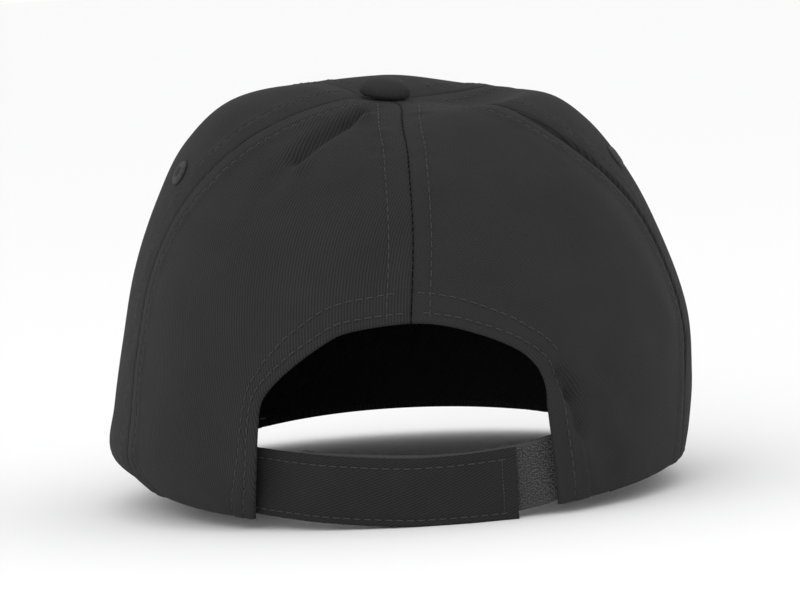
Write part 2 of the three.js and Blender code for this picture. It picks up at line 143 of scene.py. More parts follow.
def crown_radius(turn, ring):
    """The plan radius of the crown at a turn and a ring."""
    s = np.abs(np.sin(np.radians(turn)))
    c = np.cos(np.radians(turn))
    reach = np.where(c > 0, CROWN_REACH_BACK, CROWN_REACH_FRONT)
    plan = (s / CROWN_HALF_WIDTH) ** PLAN_POWER + (np.abs(c) / reach) ** PLAN_POWER
    share = (side_weights(turn) * smooth_at(RING_OUT, ring)).sum(-1)
    return plan ** (-1 / PLAN_POWER) * share


def plan_point(turn, radius, height):
    angle = np.radians(turn)
    return np.stack([radius * np.sin(angle), radius * np.cos(angle), height + 0 * angle], -1)


def crown_point(turn, ring):
    """A point of the crown's plain surface."""
    turn, ring = np.broadcast_arrays(np.asarray(turn, float), np.asarray(ring, float))
    rim = rim_height(turn)
    up = (side_weights(turn) * smooth_at(RING_UP, ring)).sum(-1)
    point = plan_point(turn, crown_radius(turn, ring), rim + (CROWN_HEIGHT - rim) * up)
    lean = (ring / LAST_RING) ** 2
    point[..., 0] += BUTTON_LEAN[0] * lean
    point[..., 1] += BUTTON_LEAN[1] * lean
    return point


def unit(vectors):
    return vectors / np.maximum(np.linalg.norm(vectors, axis=-1, keepdims=True), 1e-9)


def crown_normal(turn, ring):
    """The outward normal, from neighbouring points."""
    turn_step, ring_step = 0.1, 0.01
    ring = np.asarray(ring, float)
    low = np.maximum(ring - ring_step, 0)
    high = np.minimum(ring + ring_step, LAST_RING)
    around = crown_point(turn + turn_step, ring) - crown_point(turn - turn_step, ring)
    rise = crown_point(turn, high) - crown_point(turn, low)
    return unit(np.cross(rise, around))


HALVINGS = 36


def solve(measure, goal, low, high):
    """Where a rising measure reaches its goal, for many goals at once."""
    goal = np.asarray(goal, float)
    low = np.full(goal.shape, float(low))
    high = np.full(goal.shape, float(high))
    for _ in range(HALVINGS):
        middle = (low + high) / 2
        below = measure(middle) < goal
        low = np.where(below, middle, low)
        high = np.where(below, high, middle)
    return (low + high) / 2


def ring_at_height(turn, height):
    """The ring at which the crown stands a height above the rim."""
    goal = rim_height(turn) + height
    return solve(lambda ring: crown_point(turn, ring)[..., 2], goal, 0, LAST_RING - 2)


def turn_at_x(x, height):
    """The turn at which the back, a height above the rim, lies x to the left."""
    across = lambda turn: crown_point(turn, ring_at_height(turn, height))[..., 0]
    return solve(across, x, -85, 85)


peak_low, peak_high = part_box("peak")
peak_tip = [(peak_low[0] + peak_high[0]) / 2 / METRES, peak_low[1] / METRES]
SHIFT = np.array([peak_tip[0], peak_tip[1] + CROWN_REACH_FRONT + PEAK_LENGTH, 0.0])
print("crown's own origin in the model, mm:", SHIFT.round(2))

# %% [markdown]
# ## The camera
#
# The photo looks at the back of the cap from a little above and a little to the wearer's left,
# through a long lens, and is turned by a few degrees. The camera copies that view. It aims at a
# point beside the cap's middle, so that the framing needs no lens shift.

# %% Camera
IMAGE_WIDTH = 800
IMAGE_HEIGHT = 600
LENS_PIXELS = 4560.0
SENSOR = 36.0
CAMERA_DISTANCE = 1400.0
CAMERA_ELEVATION = 4.0
CAMERA_YAW = 2.0
CAMERA_ROLL = 3.35
CAP_MIDDLE = np.array([0.0, 0.0, 62.0])
CAP_MIDDLE_PIXEL = (396.8, 288.6)


def camera_axes(direction):
    """The axes of a camera that looks along a direction, with its roll."""
    level = direction.to_track_quat("-Z", "Y").to_matrix()
    return level @ Matrix.Rotation(math.radians(-CAMERA_ROLL), 3, "Z")


def make_camera():
    data = bpy.data.cameras.new("camera")
    data.sensor_width = SENSOR
    data.lens = LENS_PIXELS * SENSOR / IMAGE_WIDTH
    data.clip_start = 0.05
    data.clip_end = 200
    camera = bpy.data.objects.new("camera", data)
    bpy.context.scene.collection.objects.link(camera)
    lift, yaw = math.radians(CAMERA_ELEVATION), math.radians(CAMERA_YAW)
    back = Vector((math.sin(yaw) * math.cos(lift), math.cos(yaw) * math.cos(lift), math.sin(lift)))
    middle = Vector(CAP_MIDDLE + SHIFT)
    place = middle + CAMERA_DISTANCE * back
    scale = CAMERA_DISTANCE / LENS_PIXELS
    to_right = (IMAGE_WIDTH / 2 - CAP_MIDDLE_PIXEL[0]) * scale
    to_foot = (IMAGE_HEIGHT / 2 - CAP_MIDDLE_PIXEL[1]) * scale
    axes = camera_axes(-back)
    aim = middle + to_right * axes.col[0] - to_foot * axes.col[1]
    camera.matrix_world = Matrix.Translation(place * METRES) @ camera_axes(aim - place).to_4x4()
    bpy.context.scene.camera = camera
    return camera


camera = make_camera()
print("lens, mm:", round(camera.data.lens, 1))

# %% [markdown]
# ## Seams, folds and panels
#
# Each seam wanders round the crown a little, as the photo shows, so it is a short table of
# angles. A panel is the surface between two seams, swollen a little in its middle, with the
# main folds added as soft ridges and dents along short lines.

# %% Seams and panels
# Degrees round from the back, at every one and a half rings from the rim up.
SEAM_STEP = 1.5
SEAMS = {
    "back": [0, 0, 0, -2.2, -4, -8, -25],
    "side_left": [66, 66.5, 68.8, 67.2, 53.5, 42, 44],
    "front_left": [133, 134, 135.5, 136, 136, 134, 130],
    "front_right": [227, 226, 225, 225, 226, 229, 230],
    "side_right": [294, 292.5, 288, 290.2, 305.4, 308.2, 298],
}
# Each panel's two seams, and the full turn added to the angles of the second.
PANELS = {
    "back_panel_left": ("back", "side_left", 0),
    "side_panel_left": ("side_left", "front_left", 0),
    "front_panel": ("front_left", "front_right", 0),
    "side_panel_right": ("front_right", "side_right", 0),
    "back_panel_right": ("side_right", "back", 360),
}
# Sewn edges meet. Only the centre seam shows an open slit, with its stitches across it.
SEAM_SLITS = {"back": SEAM_GAP}
CLOSED_SLIT = 0.02
# Powers that shape a panel's swelling: across its width, then twice up its height.
PUFF_POWERS = (0.8, 0.9, 0.7)
FOLD_WIDTH = 8.0
FOLD_DEPTH = 2.0
# Panel, then turn and ring where the fold starts and ends, then shares of width and depth.
FOLDS = [
    ("back_panel_right", (333.3, 2.4), (331.9, 2.12), 0.32, -1.6),
    ("back_panel_right", (331.6, 2.0), (330.6, 1.5), 0.32, -1.2),
    ("back_panel_right", (329.5, 2.4), (324, 1.7), 0.5, 0.35),
    ("back_panel_right", (328, 1.75), (323.5, 0.5), 0.65, -0.6),
    ("back_panel_right", (333.9, 1.9), (333.4, 0.4), 0.2, 0.35),
    ("back_panel_right", (314, 5.8), (298, 3.0), 0.9, 0.55),
    ("back_panel_left", (12.8, 7.45), (26.6, 5.75), 0.24, 0.75),
    ("back_panel_left", (17, 7.7), (19.6, 7.3), 0.26, -1.5),
    ("back_panel_left", (20.8, 7.1), (28.8, 6.05), 0.38, -1.9),
    ("back_panel_left", (30, 5.85), (33, 5.35), 0.5, -0.5),
    ("back_panel_left", (36, 2.6), (37, 1.6), 1.1, -0.5),
]


def seam_turn(seam, ring):
    return smooth_at(SEAMS[seam], np.asarray(ring, float) / SEAM_STEP)


def panel_turn(panel, share, ring):
    """The turn at a share of a panel's width, with half of the seam's slit kept at each side."""
    start, end, beyond = PANELS[panel]
    first, last = seam_turn(start, ring), seam_turn(end, ring) + beyond
    half_slits = [SEAM_SLITS.get(seam, CLOSED_SLIT) / 2 for seam in (start, end)]
    first = first + np.degrees(half_slits[0] / crown_radius(first, ring))
    last = last - np.degrees(half_slits[1] / crown_radius(last, ring))
    return first + (last - first) * share


def panel_share(panel, turn, ring):
    start, end, beyond = PANELS[panel]
    first = seam_turn(start, ring)
    return (turn - first) / (seam_turn(end, ring) + beyond - first)


def distance_to_line(points, start, end):
    step = end - start
    share = np.clip((points - start) @ step / (step @ step), 0, 1)
    return np.linalg.norm(points - start - share[..., None] * step, axis=-1)


def panel_base(panel, share, ring):
    """A panel's outer face with its puff and main folds, and the normal there."""
    turn = panel_turn(panel, share, ring)
    point = crown_point(turn, ring)
    normal = crown_normal(turn, ring)
    wide_power, ring_power, tall_power = PUFF_POWERS
    across = np.clip(np.sin(np.pi * np.clip(share, 0, 1)), 0, 1) ** wide_power
    upward = np.sin(np.pi * (np.clip(ring, 0, LAST_RING) / LAST_RING) ** ring_power) ** tall_power
    swell = PANEL_PUFF * across * upward
    for owner, start, end, wide, deep in FOLDS:
        if owner == panel:
            away = distance_to_line(point, crown_point(*start), crown_point(*end))
            fold = np.exp(-((away / (FOLD_WIDTH * wide)) ** 2))
            swell = swell + FOLD_DEPTH * deep * across * fold
    return point + swell[..., None] * normal, normal


print("panels:", ", ".join(PANELS))

# %% [markdown]
# ## The opening
#
# The back opening is an arch. Its edge is a table of shares of its height and half widths,
# from the rim up to the centre seam, made smooth and laid on the crown.

# %% The opening's edge
OPENING_HEIGHT = 56.8
# Each back panel's half of the opening: its column in the table, and its x at full width.
OPENING_HALVES = {"back_panel_left": (1, 45.0), "back_panel_right": (2, -38.1)}
# up, left, right: shares of the height and of the two half widths.
OPENING_ROWS = np.array([
    [0, 1.065, 1.055],
    [0.23, 1.035, 1.03],
    [0.48, 1.0, 1.0],
    [0.61, 0.965, 0.992],
    [0.71, 0.865, 0.94],
    [0.8, 0.735, 0.82],
    [0.88, 0.595, 0.62],
    [0.95, 0.44, 0.37],
    [0.985, 0.22, 0.18],
    [1, 0, 0],
])


def opening_edge(panel, steps=160):
    """Turns and rings along the opening's edge, from the rim to the centre seam."""
    row = smooth_at(OPENING_ROWS, np.linspace(0, len(OPENING_ROWS) - 1, steps))
    column, x = OPENING_HALVES[panel]
    height = OPENING_HEIGHT * row[:, 0]
    turn = turn_at_x(x * row[:, column], height)
    return turn, ring_at_height(turn, height)


OPENING_EDGES = {panel: opening_edge(panel) for panel in OPENING_HALVES}
for panel, (turns, rings) in OPENING_EDGES.items():
    print(panel, "opens over", round(abs(turns[0]), 1), "degrees at the rim")

# %% [markdown]
# ## Distances along the cloth
#
# Rolled edges, seam valleys and stitch lines all follow a border at a set distance. So every
# border is kept as a path of points, and each vertex is told how far it lies from each path
# and how far along. One helper does that for seams, rim, arch, strap and peak.

# %% Paths and distances
def arc_lengths(points):
    """The length walked along a path at each of its points."""
    steps = np.linalg.norm(np.diff(points, axis=0), axis=1)
    return np.concatenate([[0], np.cumsum(steps)])


def nearest_on_path(points, path):
    """The distance from each point to a path, and how far along it the nearest place is."""
    away = np.full(len(points), np.inf)
    along = np.zeros(len(points))
    walked = 0.0
    for start, end in zip(path[:-1], path[1:]):
        step = end - start
        length = float(np.linalg.norm(step))
        if length < 1e-9:
            continue
        share = np.clip((points - start) @ step / length**2, 0, 1)
        distance = np.linalg.norm(points - start - share[:, None] * step, axis=1)
        closer = distance < away
        away[closer] = distance[closer]
        along[closer] = (walked + share * length)[closer]
        walked += length
    return away, along


def arch_path(panel):
    turns, rings = OPENING_EDGES[panel]
    share = panel_share(panel, turns + PANELS[panel][2], rings)
    return panel_base(panel, np.clip(share, 0, 1), rings)[0]


PATH_RINGS = np.linspace(0, LAST_RING, 150)
PATH_SHARES = np.linspace(0, 1, 90)
SEAM_PATHS = {seam: crown_point(seam_turn(seam, PATH_RINGS), PATH_RINGS) for seam in SEAMS}
RIM_PATHS = {panel: panel_base(panel, PATH_SHARES, 0 * PATH_SHARES)[0] for panel in PANELS}
ARCH_PATHS = {panel: arch_path(panel) for panel in OPENING_HALVES}
NOISE_VALUES = 400


def smooth_noise(along, wavelength, seed):
    """A soft random wave of about one wavelength, between -1 and 1, the same on each run."""
    values = np.random.default_rng(seed).uniform(-1, 1, NOISE_VALUES)
    place = np.asarray(along, float) / (wavelength / 2)
    return smooth_at(values, np.clip(place, 0, NOISE_VALUES - 2))


lengths = {seam: round(float(arc_lengths(path)[-1])) for seam, path in SEAM_PATHS.items()}
print("seam lengths, mm:", lengths)

# %% [markdown]
# ## How sewing shapes the cloth
#
# A seam is a valley, because both edges turn inwards. Beside it two layers lie under the cloth
# and lift it, up to a line of topstitching that pulls a narrow dent. The thread also gathers
# the cloth a little, so small puckers run along each line. On the wearer's right the side seam
# gapes, so there the cloth also drops into a ditch. These offsets, along the normal, turn a
# plain panel into a sewn one.

# %% Offsets of sewn edges
SEAM_ROW = 6.3
BACK_SEAM_ROWS = {"back_panel_left": 7.1, "back_panel_right": 5.3}
# The reach and the drop of a rolled edge. The left side seam turns in more softly.
EDGE_ROLL = (1.5, 0.75)
SEAM_ROLLS = {"side_left": (1.4, 0.45)}
# The right side seam gapes between two rings: the reach and the depth of its ditch.
SEAM_DITCHES = {
    ("back_panel_right", "side_right"): (1.6, 2.1),
    ("side_panel_right", "side_right"): (1.3, 2.3),
}
DITCH_RINGS = (1.8, 2.8, 6.0, 6.8)
# The folded allowances thicken the cloth under such a ditch, as a share of its depth.
ALLOWANCE = 1.2
# Hidden layers end a little beyond the stitch row, in a soft step.
LAYER_LIFT = 0.5
LAYER_STEP = 0.55
LAYER_BEYOND = 1.6
STITCH_DENT = 0.38
DENT_WIDTH = 0.65
# The height of the puckers, how far they spread, and their wavelengths with their shares.
PUCKER = 0.4
PUCKER_SPREAD = 3.2
PUCKER_WAVES = ((6.5, 0.6), (3.4, 0.4))


def seam_row_at(panel, seam):
    """How far a panel's stitch row lies from a seam."""
    return BACK_SEAM_ROWS[panel] if seam == "back" else SEAM_ROW


def edge_roll(away, reach=EDGE_ROLL[0], drop=EDGE_ROLL[1]):
    """How far a rolled edge has dropped, at a distance from the border."""
    share = np.clip(1 - away / reach, 0, 1)
    return drop * (1 - np.sqrt(np.maximum(1 - share**2, 0)))


def seam_ditch(panel, seam, away, ring):
    """How far a gaping seam has drawn the cloth in."""
    reach, deep = SEAM_DITCHES.get((panel, seam), (1.0, 0.0))
    low, lower, upper, high = DITCH_RINGS
    open_there = smooth_step(ring, low, lower) * (1 - smooth_step(ring, upper, high))
    return deep * open_there * np.exp(-((away / reach) ** 4))


def layer_lift(away, width):
    """The lift over hidden layers that end at a width from the border."""
    return LAYER_LIFT / (1 + np.exp((away - width) / LAYER_STEP))


def stitch_dent(away, row):
    return STITCH_DENT * np.exp(-(((away - row) / DENT_WIDTH) ** 2))


def puckers(away, along, row, seed, spread=PUCKER_SPREAD):
    """Small gathers along a stitch line."""
    wave = 0
    for number, (wavelength, share) in enumerate(PUCKER_WAVES):
        wave = wave + share * smooth_noise(along, wavelength, seed + number)
    return PUCKER * wave * np.exp(-(((away - row) / spread) ** 2))


def sewn_seam(away, along, row, roll, seed):
    """All that a seam adds to the cloth beside it."""
    offset = layer_lift(away, row + LAYER_BEYOND) - roll - stitch_dent(away, row)
    return offset + puckers(away, along, row, seed)


# %% [markdown]
# ## Building a cloth piece
#
# Each piece starts flat, as a net of cells in its own two coordinates. The net is finer beside
# its borders, where rolls and stitch dents need it. An arch or a hole is cut into the net along
# lines of equal distance, which leaves clean edges with cells that follow them. Then the net
# is laid on the outer and the inner face and closed round its borders, so that it is a solid
# wall as real cloth is.

# %% Nets, cuts and shells
# Places near a border, ever wider apart, over at most a share of the width.
FINE_BORDER = 12.0
FINE_STEPS = 18
FINE = FINE_BORDER * np.linspace(0, 1, FINE_STEPS + 1) ** 1.6
FINE_SHARE = 0.42


def border_steps(width, middle_step, both=True, count=None):
    """Places across a width, close together near its borders, with even steps between."""
    fine = FINE * min(1.0, FINE_SHARE * width * (1 if both else 2) / FINE_BORDER)
    last = width - fine[-1] if both else width
    count = count or max(int(round((last - fine[-1]) / middle_step)), 2)
    middle = np.linspace(fine[-1], last, count + 1)[1:-1]
    return np.concatenate([fine, middle, width - fine[::-1] if both else [width]])


def net_places(columns, rows):
    """Both coordinates of a net's vertices, one column after another."""
    return [part.ravel() for part in np.meshgrid(columns, rows, indexing="ij")]


def net_faces(columns, rows):
    """Quads of a net, from its numbers of columns and rows."""
    i, j = net_places(np.arange(columns - 1), np.arange(rows - 1))
    a = i * rows + j
    return np.stack([a, a + rows, a + rows + 1, a + 1], -1).tolist()


def cut_net(u, v, value, faces, levels, keep_above=0.0):
    """Cuts cells along lines of equal value, and drops what lies below keep_above."""
    u, v, value = list(u), list(v), list(value)
    for level in levels:
        made = {}
        result = []
        for face in faces:
            heights = [value[k] - level for k in face]
            if min(heights) >= 0 or max(heights) <= 0:
                result.append(face)
                continue
            low, high = [], []
            for n, k in enumerate(face):
                after = face[(n + 1) % len(face)]
                here, there = heights[n], value[after] - level
                if here <= 0:
                    low.append(k)
                if here >= 0:
                    high.append(k)
                if here * there < 0:
                    edge = (min(k, after), max(k, after))
                    if edge not in made:
                        start, end = edge
                        share = (level - value[start]) / (value[end] - value[start])
                        made[edge] = len(u)
                        for places in (u, v):
                            places.append(places[start] + share * (places[end] - places[start]))
                        value.append(level)
                    low.append(made[edge])
                    high.append(made[edge])
            result += [part for part in (low, high) if len(part) > 2]
        faces = result
    kept = [f for f in faces if sum(value[k] for k in f) / len(f) > keep_above]
    used = sorted({k for f in kept for k in f})
    number = {k: n for n, k in enumerate(used)}
    u, v = np.array(u)[used], np.array(v)[used]
    return u, v, [[number[k] for k in f] for f in kept]


def border_edges(faces):
    """Directed edges that belong to one face only."""
    seen = {}
    for face in faces:
        for a, b in zip(face, face[1:] + face[:1]):
            key = (min(a, b), max(a, b))
            seen[key] = None if key in seen else (a, b)
    return [edge for edge in seen.values() if edge]


def make_mesh(name, points, faces, weave):
    """A mesh object from points in the crown's millimetres, and its cloth coordinates."""
    mesh = bpy.data.meshes.new(name)
    mesh.from_pydata(((points + SHIFT) * METRES).tolist(), [], faces)
    data = mesh.attributes.new("weave", "FLOAT_VECTOR", "POINT")
    data.data.foreach_set("vector", np.asarray(weave, np.float32).ravel())
    mesh.shade_smooth()
    mesh.validate()
    mesh.update()
    piece = bpy.data.objects.new(name, mesh)
    bpy.context.scene.collection.objects.link(piece)
    return piece


def shell(name, outer, inner, faces, weave):
    """A closed cloth wall between two layers of the same net."""
    count = len(outer)
    a, b, c = (outer[k] for k in faces[0][:3])
    if np.cross(b - a, c - a) @ (a - inner[faces[0][0]]) < 0:
        faces = [face[::-1] for face in faces]
    closed = faces + [[k + count for k in face[::-1]] for face in faces]
    closed += [[b, a, a + count, b + count] for a, b in border_edges(faces)]
    print(f"{name}: {len(closed)} faces")
    return make_mesh(name, np.concatenate([outer, inner]), closed, np.tile(weave, (2, 1)))


def weave_turned(across, up, wale_angle):
    """Cloth coordinates whose first axis crosses wales that lie at an angle to the first side."""
    angle = math.radians(wale_angle)
    over = -across * math.sin(angle) + up * math.cos(angle)
    run = across * math.cos(angle) + up * math.sin(angle)
    return np.stack([over, run, 0 * over], -1)


# %% [markdown]
# ## Cotton twill, thread and loop tape
#
# Cotton twill is woven so that each yarn passes over two or three others, one step further in
# each row, which draws fine slanting ribs, called wales. Garment washed twill is matt, with a
# soft sheen from its short fibres. The ribs are a wave across the cloth's own coordinates, kept
# on each mesh as an attribute in millimetres, so that they keep their real pitch everywhere.

# %% Colours and one node helper
def linear(hex_colour):
    """An sRGB hex colour as linear red, green, blue and alpha."""
    values = [int(hex_colour[i:i + 2], 16) / 255 for i in (1, 3, 5)]
    return [v / 12.92 if v <= 0.04045 else ((v + 0.055) / 1.055) ** 2.4 for v in values] + [1.0]


def add_node(tree, kind, settings=None, inputs=None):
    """Adds a node, sets its properties, and sets or links its inputs by name or number."""
    node = tree.nodes.new(kind)
    for name, value in (settings or {}).items():
        setattr(node, name, value)
    for name, value in (inputs or {}).items():
        if isinstance(value, bpy.types.NodeSocket):
            tree.links.new(value, node.inputs[name])
        else:
            node.inputs[name].default_value = value
    return node


def wave_scale(pitch):
    """The wave texture's scale for bands at a pitch, because it turns 20 times per unit."""
    return 2 * math.pi / (20 * pitch)


def new_material(name):
    material = bpy.data.materials.new(name)
    material.use_nodes = True
    material.node_tree.nodes.clear()
    return material, material.node_tree


def add_surface(tree, inputs):
    shader = add_node(tree, "ShaderNodeBsdfPrincipled", inputs=inputs)
    add_node(tree, "ShaderNodeOutputMaterial", inputs={"Surface": shader.outputs["BSDF"]})


# %% Twill and thread
# Cotton fibre has an IOR near 1.47 and a rough, fibrous surface. Wales at 0.86 mm, as measured.
FIBRE_IOR = 1.47
FIBRE_SHEEN = 0.02
WALE_PITCH = 0.86
YARN_PITCH = 0.48
PLY_PITCH = 0.5
# Depths of the relief, in metres.
TWILL_DEPTH = 0.00016
THREAD_DEPTH = 0.00008


def finish_fibre(tree, colour, height, strength, depth, roughness, specular):
    """Ends a fibre's material with its relief, and a matt surface with a faint sheen."""
    normal = add_node(tree, "ShaderNodeBump", inputs={
        "Height": height, "Strength": strength, "Distance": depth}).outputs["Normal"]
    add_surface(tree, {
        "Base Color": colour, "Normal": normal, "Roughness": roughness, "IOR": FIBRE_IOR,
        "Specular IOR Level": specular, "Sheen Weight": FIBRE_SHEEN, "Sheen Roughness": 0.5,
    })


def twill_material(name, valley, rib, pitch=WALE_PITCH):
    """Cotton twill: wales and yarns as two waves, with loose fibres and a faint washed cloud."""
    material, tree = new_material(name)
    place = add_node(tree, "ShaderNodeAttribute", {"attribute_name": "weave"}).outputs["Vector"]
    wales = add_node(tree, "ShaderNodeTexWave", {"bands_direction": "X"}, {
        "Vector": place, "Scale": wave_scale(pitch), "Distortion": 1.2, "Detail": 2.0,
        "Detail Scale": 0.35, "Detail Roughness": 0.6,
    }).outputs["Fac"]
    yarns = add_node(tree, "ShaderNodeTexWave", {"bands_direction": "Y"}, {
        "Vector": place, "Scale": wave_scale(YARN_PITCH), "Distortion": 2.0, "Detail": 2.0,
        "Detail Scale": 0.5,
    }).outputs["Fac"]
    fibres = add_node(tree, "ShaderNodeTexNoise", inputs={
        "Vector": place, "Scale": 1.9, "Detail": 4.0, "Roughness": 0.7}).outputs["Fac"]
    washed = add_node(tree, "ShaderNodeTexNoise", inputs={
        "Vector": place, "Scale": 0.05, "Detail": 3.0, "Roughness": 0.55}).outputs["Fac"]
    add = {"operation": "MULTIPLY_ADD"}
    ribbed = add_node(tree, "ShaderNodeMath", add, {0: yarns, 1: 0.3, 2: wales}).outputs[0]
    height = add_node(tree, "ShaderNodeMath", add, {0: fibres, 1: 1.5, 2: ribbed}).outputs[0]
    tint = add_node(tree, "ShaderNodeMapRange", inputs={
        "Value": height, "From Min": 0.55, "From Max": 2.15}).outputs[0]
    ribs = add_node(tree, "ShaderNodeMix", {"data_type": "RGBA"}, {
        0: tint, 6: linear(valley), 7: linear(rib)}).outputs[2]
    fade = add_node(tree, "ShaderNodeMapRange", inputs={
        "Value": washed, "From Min": 0.25, "From Max": 0.75,
        "To Min": 0.9, "To Max": 1.1}).outputs[0]
    colour = add_node(tree, "ShaderNodeVectorMath", {"operation": "SCALE"}, {
        "Vector": ribs, "Scale": fade}).outputs["Vector"]
    finish_fibre(tree, colour, height, 0.7, TWILL_DEPTH, 0.9, 0.12)
    return material


def thread_material(name, hex_colour):
    """Spun polyester sewing thread: a little smoother than the cloth, with twisted plies."""
    material, tree = new_material(name)
    place = add_node(tree, "ShaderNodeAttribute", {"attribute_name": "weave"}).outputs["Vector"]
    plies = add_node(tree, "ShaderNodeTexWave", {"bands_direction": "DIAGONAL"}, {
        "Vector": place, "Scale": wave_scale(PLY_PITCH), "Distortion": 0.6}).outputs["Fac"]
    light = linear(hex_colour)
    dark = [0.8 * c for c in light[:3]] + [1.0]
    colour = add_node(tree, "ShaderNodeMix", {"data_type": "RGBA"}, {
        0: plies, 6: dark, 7: light}).outputs[2]
    finish_fibre(tree, colour, plies, 0.5, THREAD_DEPTH, 0.6, 0.2)
    return material


TWILL = twill_material("cotton_twill", "#1d1d1d", "#303030")
# The wales of the right back panel run with the light, so they show less; this copy of the twill paints
# that light in, with less contrast between valley and rib.
RIGHT_TWILL_PAINTED_LIGHT = twill_material("right_back_twill_painted_light", "#232323", "#2d2d2d")
STRAP_TWILL = twill_material("strap_twill", "#1a1a1a", "#2b2b2b", 0.76)
# The button is covered in the same twill; its lighter colour with less contrast is painted light that
# lifts the shade on its steep sides and on its wales.
BUTTON_TWILL_PAINTED_LIGHT = twill_material("button_twill_painted_light", "#2c2c2c", "#323232", 0.7)
# The seam thread is a little lighter than the cloth: partly the thread's own tone, partly painted sheen
# on the stitch rows.
THREAD = thread_material("polyester_thread", "#383838")
# The eyelet thread is lighter than the seam thread: its own thread colour with a painted highlight for
# the light that the eyelets catch at their edges.
EYELET_THREAD_PAINTED_HIGHLIGHT = thread_material("eyelet_thread_painted_highlight", "#404040")
SWEATBAND_TWILL = twill_material("sweatband_twill", "#1a1a1a", "#282828")
LOOP_TAPE = thread_material("woven_tape", "#404040")
LOOP_YARN = thread_material("loop_yarn", "#686868")
print("materials:", [material.name for material in bpy.data.materials])


def dress(piece, material, nodes=()):
    """Gives a piece its material and its place on the cap."""
    piece.data.materials.append(material)
    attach(piece, "root")
    if nodes:
        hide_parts(*nodes)


# %% [markdown]
# ## The five panels
#
# All five panels come from one function that gives the finished outer face at a share and a
# ring: the smooth base, plus what the sewing does beside each border. The stitches later ask
# the same function for their places, so that they lie exactly on the cloth. The back panels
# have the arch cut into their net, and the side panels the small hole of their eyelet.

# %% Stitch rows along the opening
# Distances of the two rows from the arch's edge, at shares of its length from the rim up.
ARCH_ROWS = {
    "back_panel_left": {
        "inner": ([0, 0.3, 0.5, 1], [3.2, 3.2, 2.7, 2.6]),
        "outer": ([0, 0.2, 0.4, 0.6, 1], [8.2, 6.4, 5.2, 7.6, 8.8]),
    },
    "back_panel_right": {
        "inner": ([0, 0.4, 0.6, 1], [5.2, 4.6, 2.8, 2.6]),
        "outer": ([0, 0.4, 0.6, 1], [12.0, 9.0, 7.2, 8.8]),
    },
}
ARCH_LAYER = 0.8
ARCH_PUCKER_SPREAD = 2.4
# Turn and ring of each eyelet, and the dent that its satin stitches pull.
EYELETS = {"side_panel_left": (73, 5.5), "side_panel_right": (281, 5.35)}
EYELET_DENT = 0.35
EYELET_DENT_WIDTH = 4.5
# Sewing fades out over the last rings, under the button.
TOP_FADE = 1.6
# The cloth sways a little everywhere, by two crossed waves.
SWAY = 0.35


def arch_row(panel, row, along):
    shares, distances = ARCH_ROWS[panel][row]
    return np.interp(along / arc_lengths(ARCH_PATHS[panel])[-1], shares, distances)


def eyelet_place(panel):
    turn, ring = EYELETS[panel]
    share = np.array([panel_share(panel, turn, ring)])
    point, normal = panel_base(panel, share, np.array([float(ring)]))
    return point[0], normal[0]


def panel_outer(panel, share, ring):
    """The finished outer face of a panel, its normal, and how far it rolls and dips."""
    base, normal = panel_base(panel, share, ring)
    offset, roll, ditch = np.zeros((3, len(share)))
    top_fade = np.clip((LAST_RING - ring) / TOP_FADE, 0, 1)
    for number, seam in enumerate(PANELS[panel][:2]):
        away, along = nearest_on_path(base, SEAM_PATHS[seam])
        seed = 100 * (list(SEAMS).index(seam) + 1) + 50 * number
        turned_in = edge_roll(away, *SEAM_ROLLS.get(seam, EDGE_ROLL))
        offset += sewn_seam(away, along, seam_row_at(panel, seam), turned_in, seed) * top_fade
        ditch += seam_ditch(panel, seam, away, ring)
        roll = np.maximum(roll, turned_in)
    borders = [nearest_on_path(base, RIM_PATHS[panel])[0]]
    if panel in ARCH_PATHS:
        away, along = nearest_on_path(base, ARCH_PATHS[panel])
        borders.append(away)
        offset += layer_lift(away, arch_row(panel, "outer", along) + ARCH_LAYER)
        for number, row in enumerate(ARCH_ROWS[panel]):
            place = arch_row(panel, row, along)
            offset += puckers(away, along, place, 700 + 20 * number, ARCH_PUCKER_SPREAD)
            offset -= stitch_dent(away, place)
    for away in borders:
        offset -= edge_roll(away)
        roll = np.maximum(roll, edge_roll(away))
    if panel in EYELETS:
        away = np.linalg.norm(base - eyelet_place(panel)[0], axis=1)
        offset -= EYELET_DENT * np.exp(-((away / EYELET_DENT_WIDTH) ** 2))
    sway = smooth_noise(80 + base[:, 0] * 0.7 + base[:, 2] * 0.7, 34, 31)
    sway = sway * smooth_noise(200 + base[:, 2] - base[:, 0] * 0.5, 41, 57)
    offset += SWAY * sway * np.clip(np.sin(np.pi * share), 0, 1) - ditch
    return base + offset[:, None] * normal, normal, roll, ditch


# %% Panel nets
ROW_STEP = 1.5
# Circles cut round an eyelet's hole, the first one through the cloth.
EYELET_ROUNDS = [2.2, 2.6, 3.2, 4.0, 5.0]
# No ring from this one up meets the opening.
ABOVE_OPENING = 6
# The least thickness that a dent leaves in the cloth.
THINNEST = 0.1
# The angle of the wales on each panel, counted from its width, in degrees.
PANEL_WALES = {
    "back_panel_left": 81,
    "back_panel_right": 64,
    "side_panel_left": 70,
    "side_panel_right": 110,
    "front_panel": 60,
}
# The right back panel is eased over the head, which crowds its wales and bends them near the
# centre seam: the crowding, the bend, and how softly and from where in mm it sets in.
EASE_CROWDING = 1.15
EASE_BEND = 0.42
EASE_SOFTNESS = 6
EASE_FROM = (-5, 15)
EASE_CLIMB = 50


def eased_wales(over, across, up):
    beside = EASE_SOFTNESS * np.log1p(np.exp((across - EASE_FROM[0]) / EASE_SOFTNESS))
    bend = EASE_BEND * beside * np.tanh((up - EASE_FROM[1]) / EASE_CLIMB)
    return EASE_CROWDING * (over + bend)


def panel_widths(panel, rings):
    """The panel's width along the cloth at each ring."""
    share = np.linspace(0, 1, 33)
    paths = [crown_point(panel_turn(panel, share, ring), ring) for ring in rings]
    return np.array([arc_lengths(path)[-1] for path in paths])


